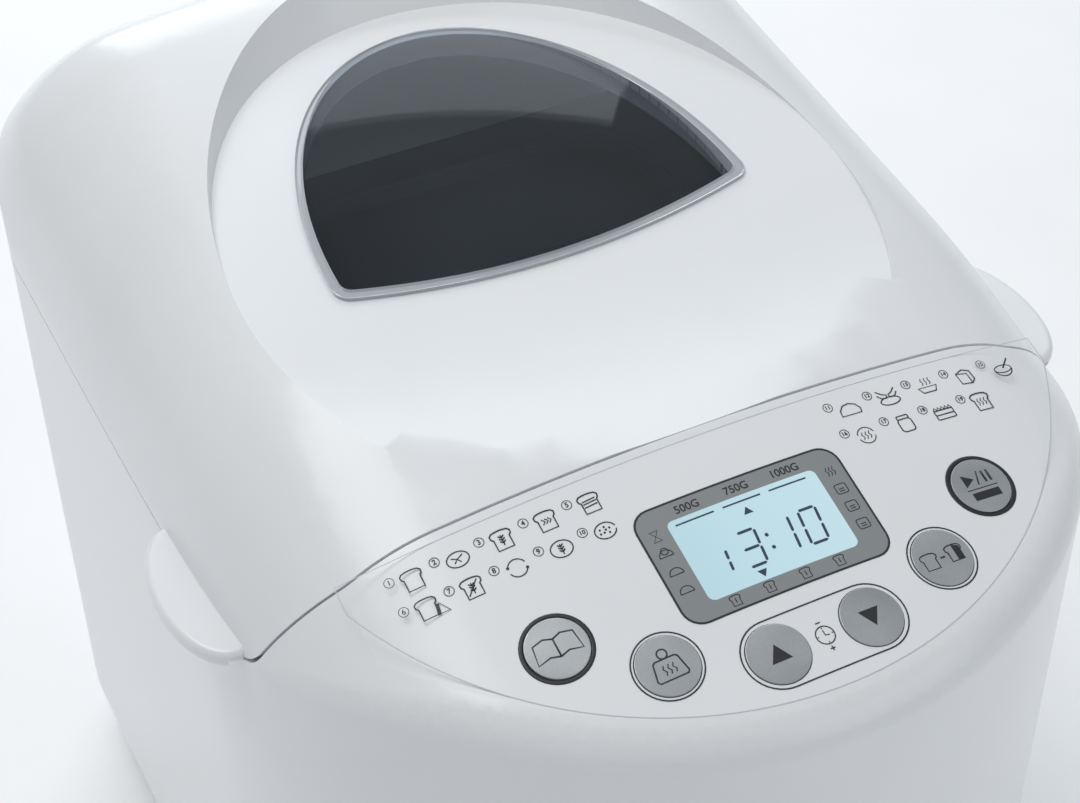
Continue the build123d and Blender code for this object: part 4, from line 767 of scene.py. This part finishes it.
for key, (u, v) in KEYS.items():
    skin_copy(f"button_{key}", f"key_{key}", key_finish)
    symbol = Print()
    if key == "menu":
        for side in (-1, 1):
            symbol.line(
                [
                    (u, v - 2.5), (u + side * 2.7, v - 1.7), (u + side * 6.4, v - 2.6),
                    (u + side * 5.7, v + 2.9), (u + side * 2.5, v + 3.7), (u, v + 2.8),
                ],
                0.5,
            )
        symbol.line([(u, v - 2.5), (u, v + 2.8)], 0.5)
    elif key == "weight":
        symbol.line(
            [
                (u - 4.0, v - 3.9), (u + 4.0, v - 3.9), (u + 4.5, v - 3.2), (u + 3.5, v + 1.6),
                (u + 2.8, v + 2.1), (u - 2.8, v + 2.1), (u - 3.5, v + 1.6), (u - 4.5, v - 3.2),
            ],
            0.5, True,
        )
        symbol.ring(u, v + 3.5, 1.35, 0.45)
        for shift in (-1.4, 0.0, 1.4):
            symbol.line(
                [
                    (u + shift, v - 2.4), (u + shift + 0.4, v - 1.5), (u + shift - 0.3, v - 0.6),
                    (u + shift + 0.2, v + 0.4),
                ],
                0.36,
            )
    elif key == "crust":
        symbol.line(slice_points(u - 4.0, v - 0.2, 4.8), 0.42, True)
        symbol.line(slice_points(u + 4.0, v + 0.2, 4.8), 0.42, True)
        symbol.fill([(u + 4.0, v - 2.1), (u + 5.9, v - 2.1), (u + 6.1, v + 1.9), (u + 4.0, v + 2.6)])
        symbol.line([(u - 0.7, v), (u + 0.7, v)], 0.6)
    elif key == "start":
        symbol.line([(u - 4.3, v + 0.5), (u - 4.3, v + 4.3), (u - 1.3, v + 2.4)], 0.42, True)
        symbol.fill([(u - 4.3, v + 0.5), (u - 1.3, v + 2.4), (u - 4.3, v + 4.3)])
        symbol.line([(u - 0.5, v + 0.4), (u + 0.9, v + 4.6)], 0.4)
        for shift in (2.3, 3.9):
            symbol.line([(u + shift, v + 0.7), (u + shift, v + 4.3)], 0.75)
        symbol.line([(u - 4.9, v - 0.7), (u + 4.9, v - 0.7)], 0.32)
        symbol.fill([(u - 4.1, v - 4.2), (u + 4.5, v - 4.2), (u + 4.5, v - 1.8), (u - 4.1, v - 1.8)])
    else:
        way = 1 if key == "up" else -1
        symbol.fill(
            [(u - 3.0 * way, v - 2.3 * way), (u + 3.0 * way, v - 2.3 * way), (u, v + 2.8 * way)]
        )
    symbol.finish(f"symbol_{key}", ink, f"{key}_key", height=0.42)

# ---- Lid and hinge ----
# The lid's outer moulding is the housing's white plastic, with the inner frame and its finger
# grips clipped into it. A sheet-steel liner and a silicone seal face the oven, and two arms of
# satin white plastic turn on steel pins in brackets at the back.
white_inner = moulded("white_satin", (0.74, 0.75, 0.765), 0.46)
for node in ("hinge_arms", "hinge_brackets"):
    dress(nodes[node], white_inner)
dress(nodes["hinge_pins"], turned_steel)
dress(nodes["lid_liner"], sheet_steel)
dress(nodes["lid_seal"], moulded("grey_silicone", (0.52, 0.52, 0.51), 0.6))
for node in ("lid_shell", "lid_frame"):
    skin_copy(node, f"{node}_skin", white)

# ---- Viewing window ----
# A domed pane of smoked clear plastic sits in a raised, milky rim in the lid's dish. A flat
# glass pane below it closes the oven.
def clear_pane(name, tint, tint_share, roughness, gloss, body=0.05):
    """A clear pane: mostly see-through, with a mirror-like sheen that grows towards its edges."""
    made, shader, place = finish_start(name, Roughness=roughness, IOR=1.49)
    shader.inputs["Base Color"].default_value = (*tint, 1.0)
    shader.inputs["Coat Weight"].default_value = 1.0
    shader.inputs["Coat Roughness"].default_value = 0.03
    tree = made.node_tree
    see_through = tree.nodes.new("ShaderNodeBsdfTransparent")
    see_through.inputs["Color"].default_value = (*tint_share, 1.0)
    rim = place.add("ShaderNodeLayerWeight", Blend=0.22)
    rim = Socket(tree, rim.out.node.outputs["Facing"])
    blend = tree.nodes.new("ShaderNodeMixShader")
    haze = place.add("ShaderNodeTexNoise", Vector=place, Scale=40.0, Detail=2.0)
    to_factor = rim * gloss + haze * 0.02 + body
    tree.links.new(to_factor.out, blend.inputs[0])
    tree.links.new(see_through.outputs[0], blend.inputs[1])
    tree.links.new(shader.outputs[0], blend.inputs[2])
    tree.links.new(blend.outputs[0], tree.nodes["Material Output"].inputs["Surface"])
    return made


smoked = clear_pane("smoked_pane", (0.10, 0.11, 0.12), (0.80, 0.83, 0.86), 0.04, 0.55)
skin_copy("lid_window", "window_pane", smoked)
skin_copy(
        "inner_glass", "inner_pane",
        clear_pane("inner_pane", (0.3, 0.32, 0.33), (0.93, 0.95, 0.95), 0.05, 0.3),
    )
rim_finish = clear_pane("rim_plastic", (0.60, 0.63, 0.66), (0.90, 0.92, 0.94), 0.07, 0.9, 0.55)
rim_piece = skin_copy("window_trim", "window_rim", rim_finish)
rim_form = bmesh.new()
rim_form.from_mesh(rim_piece.data)
RIM_LEDGE_Z = 0.262
rim_top = [
    face for face in rim_form.faces
    if face.normal.z > 0.9 and face.calc_center_median().z > RIM_LEDGE_Z
]
bmesh.ops.inset_region(rim_form, faces=rim_top, thickness=0.0007, depth=-0.0005, use_even_offset=True)
for face in rim_form.faces:
    face.smooth = False
rim_form.to_mesh(rim_piece.data)
rim_form.free()
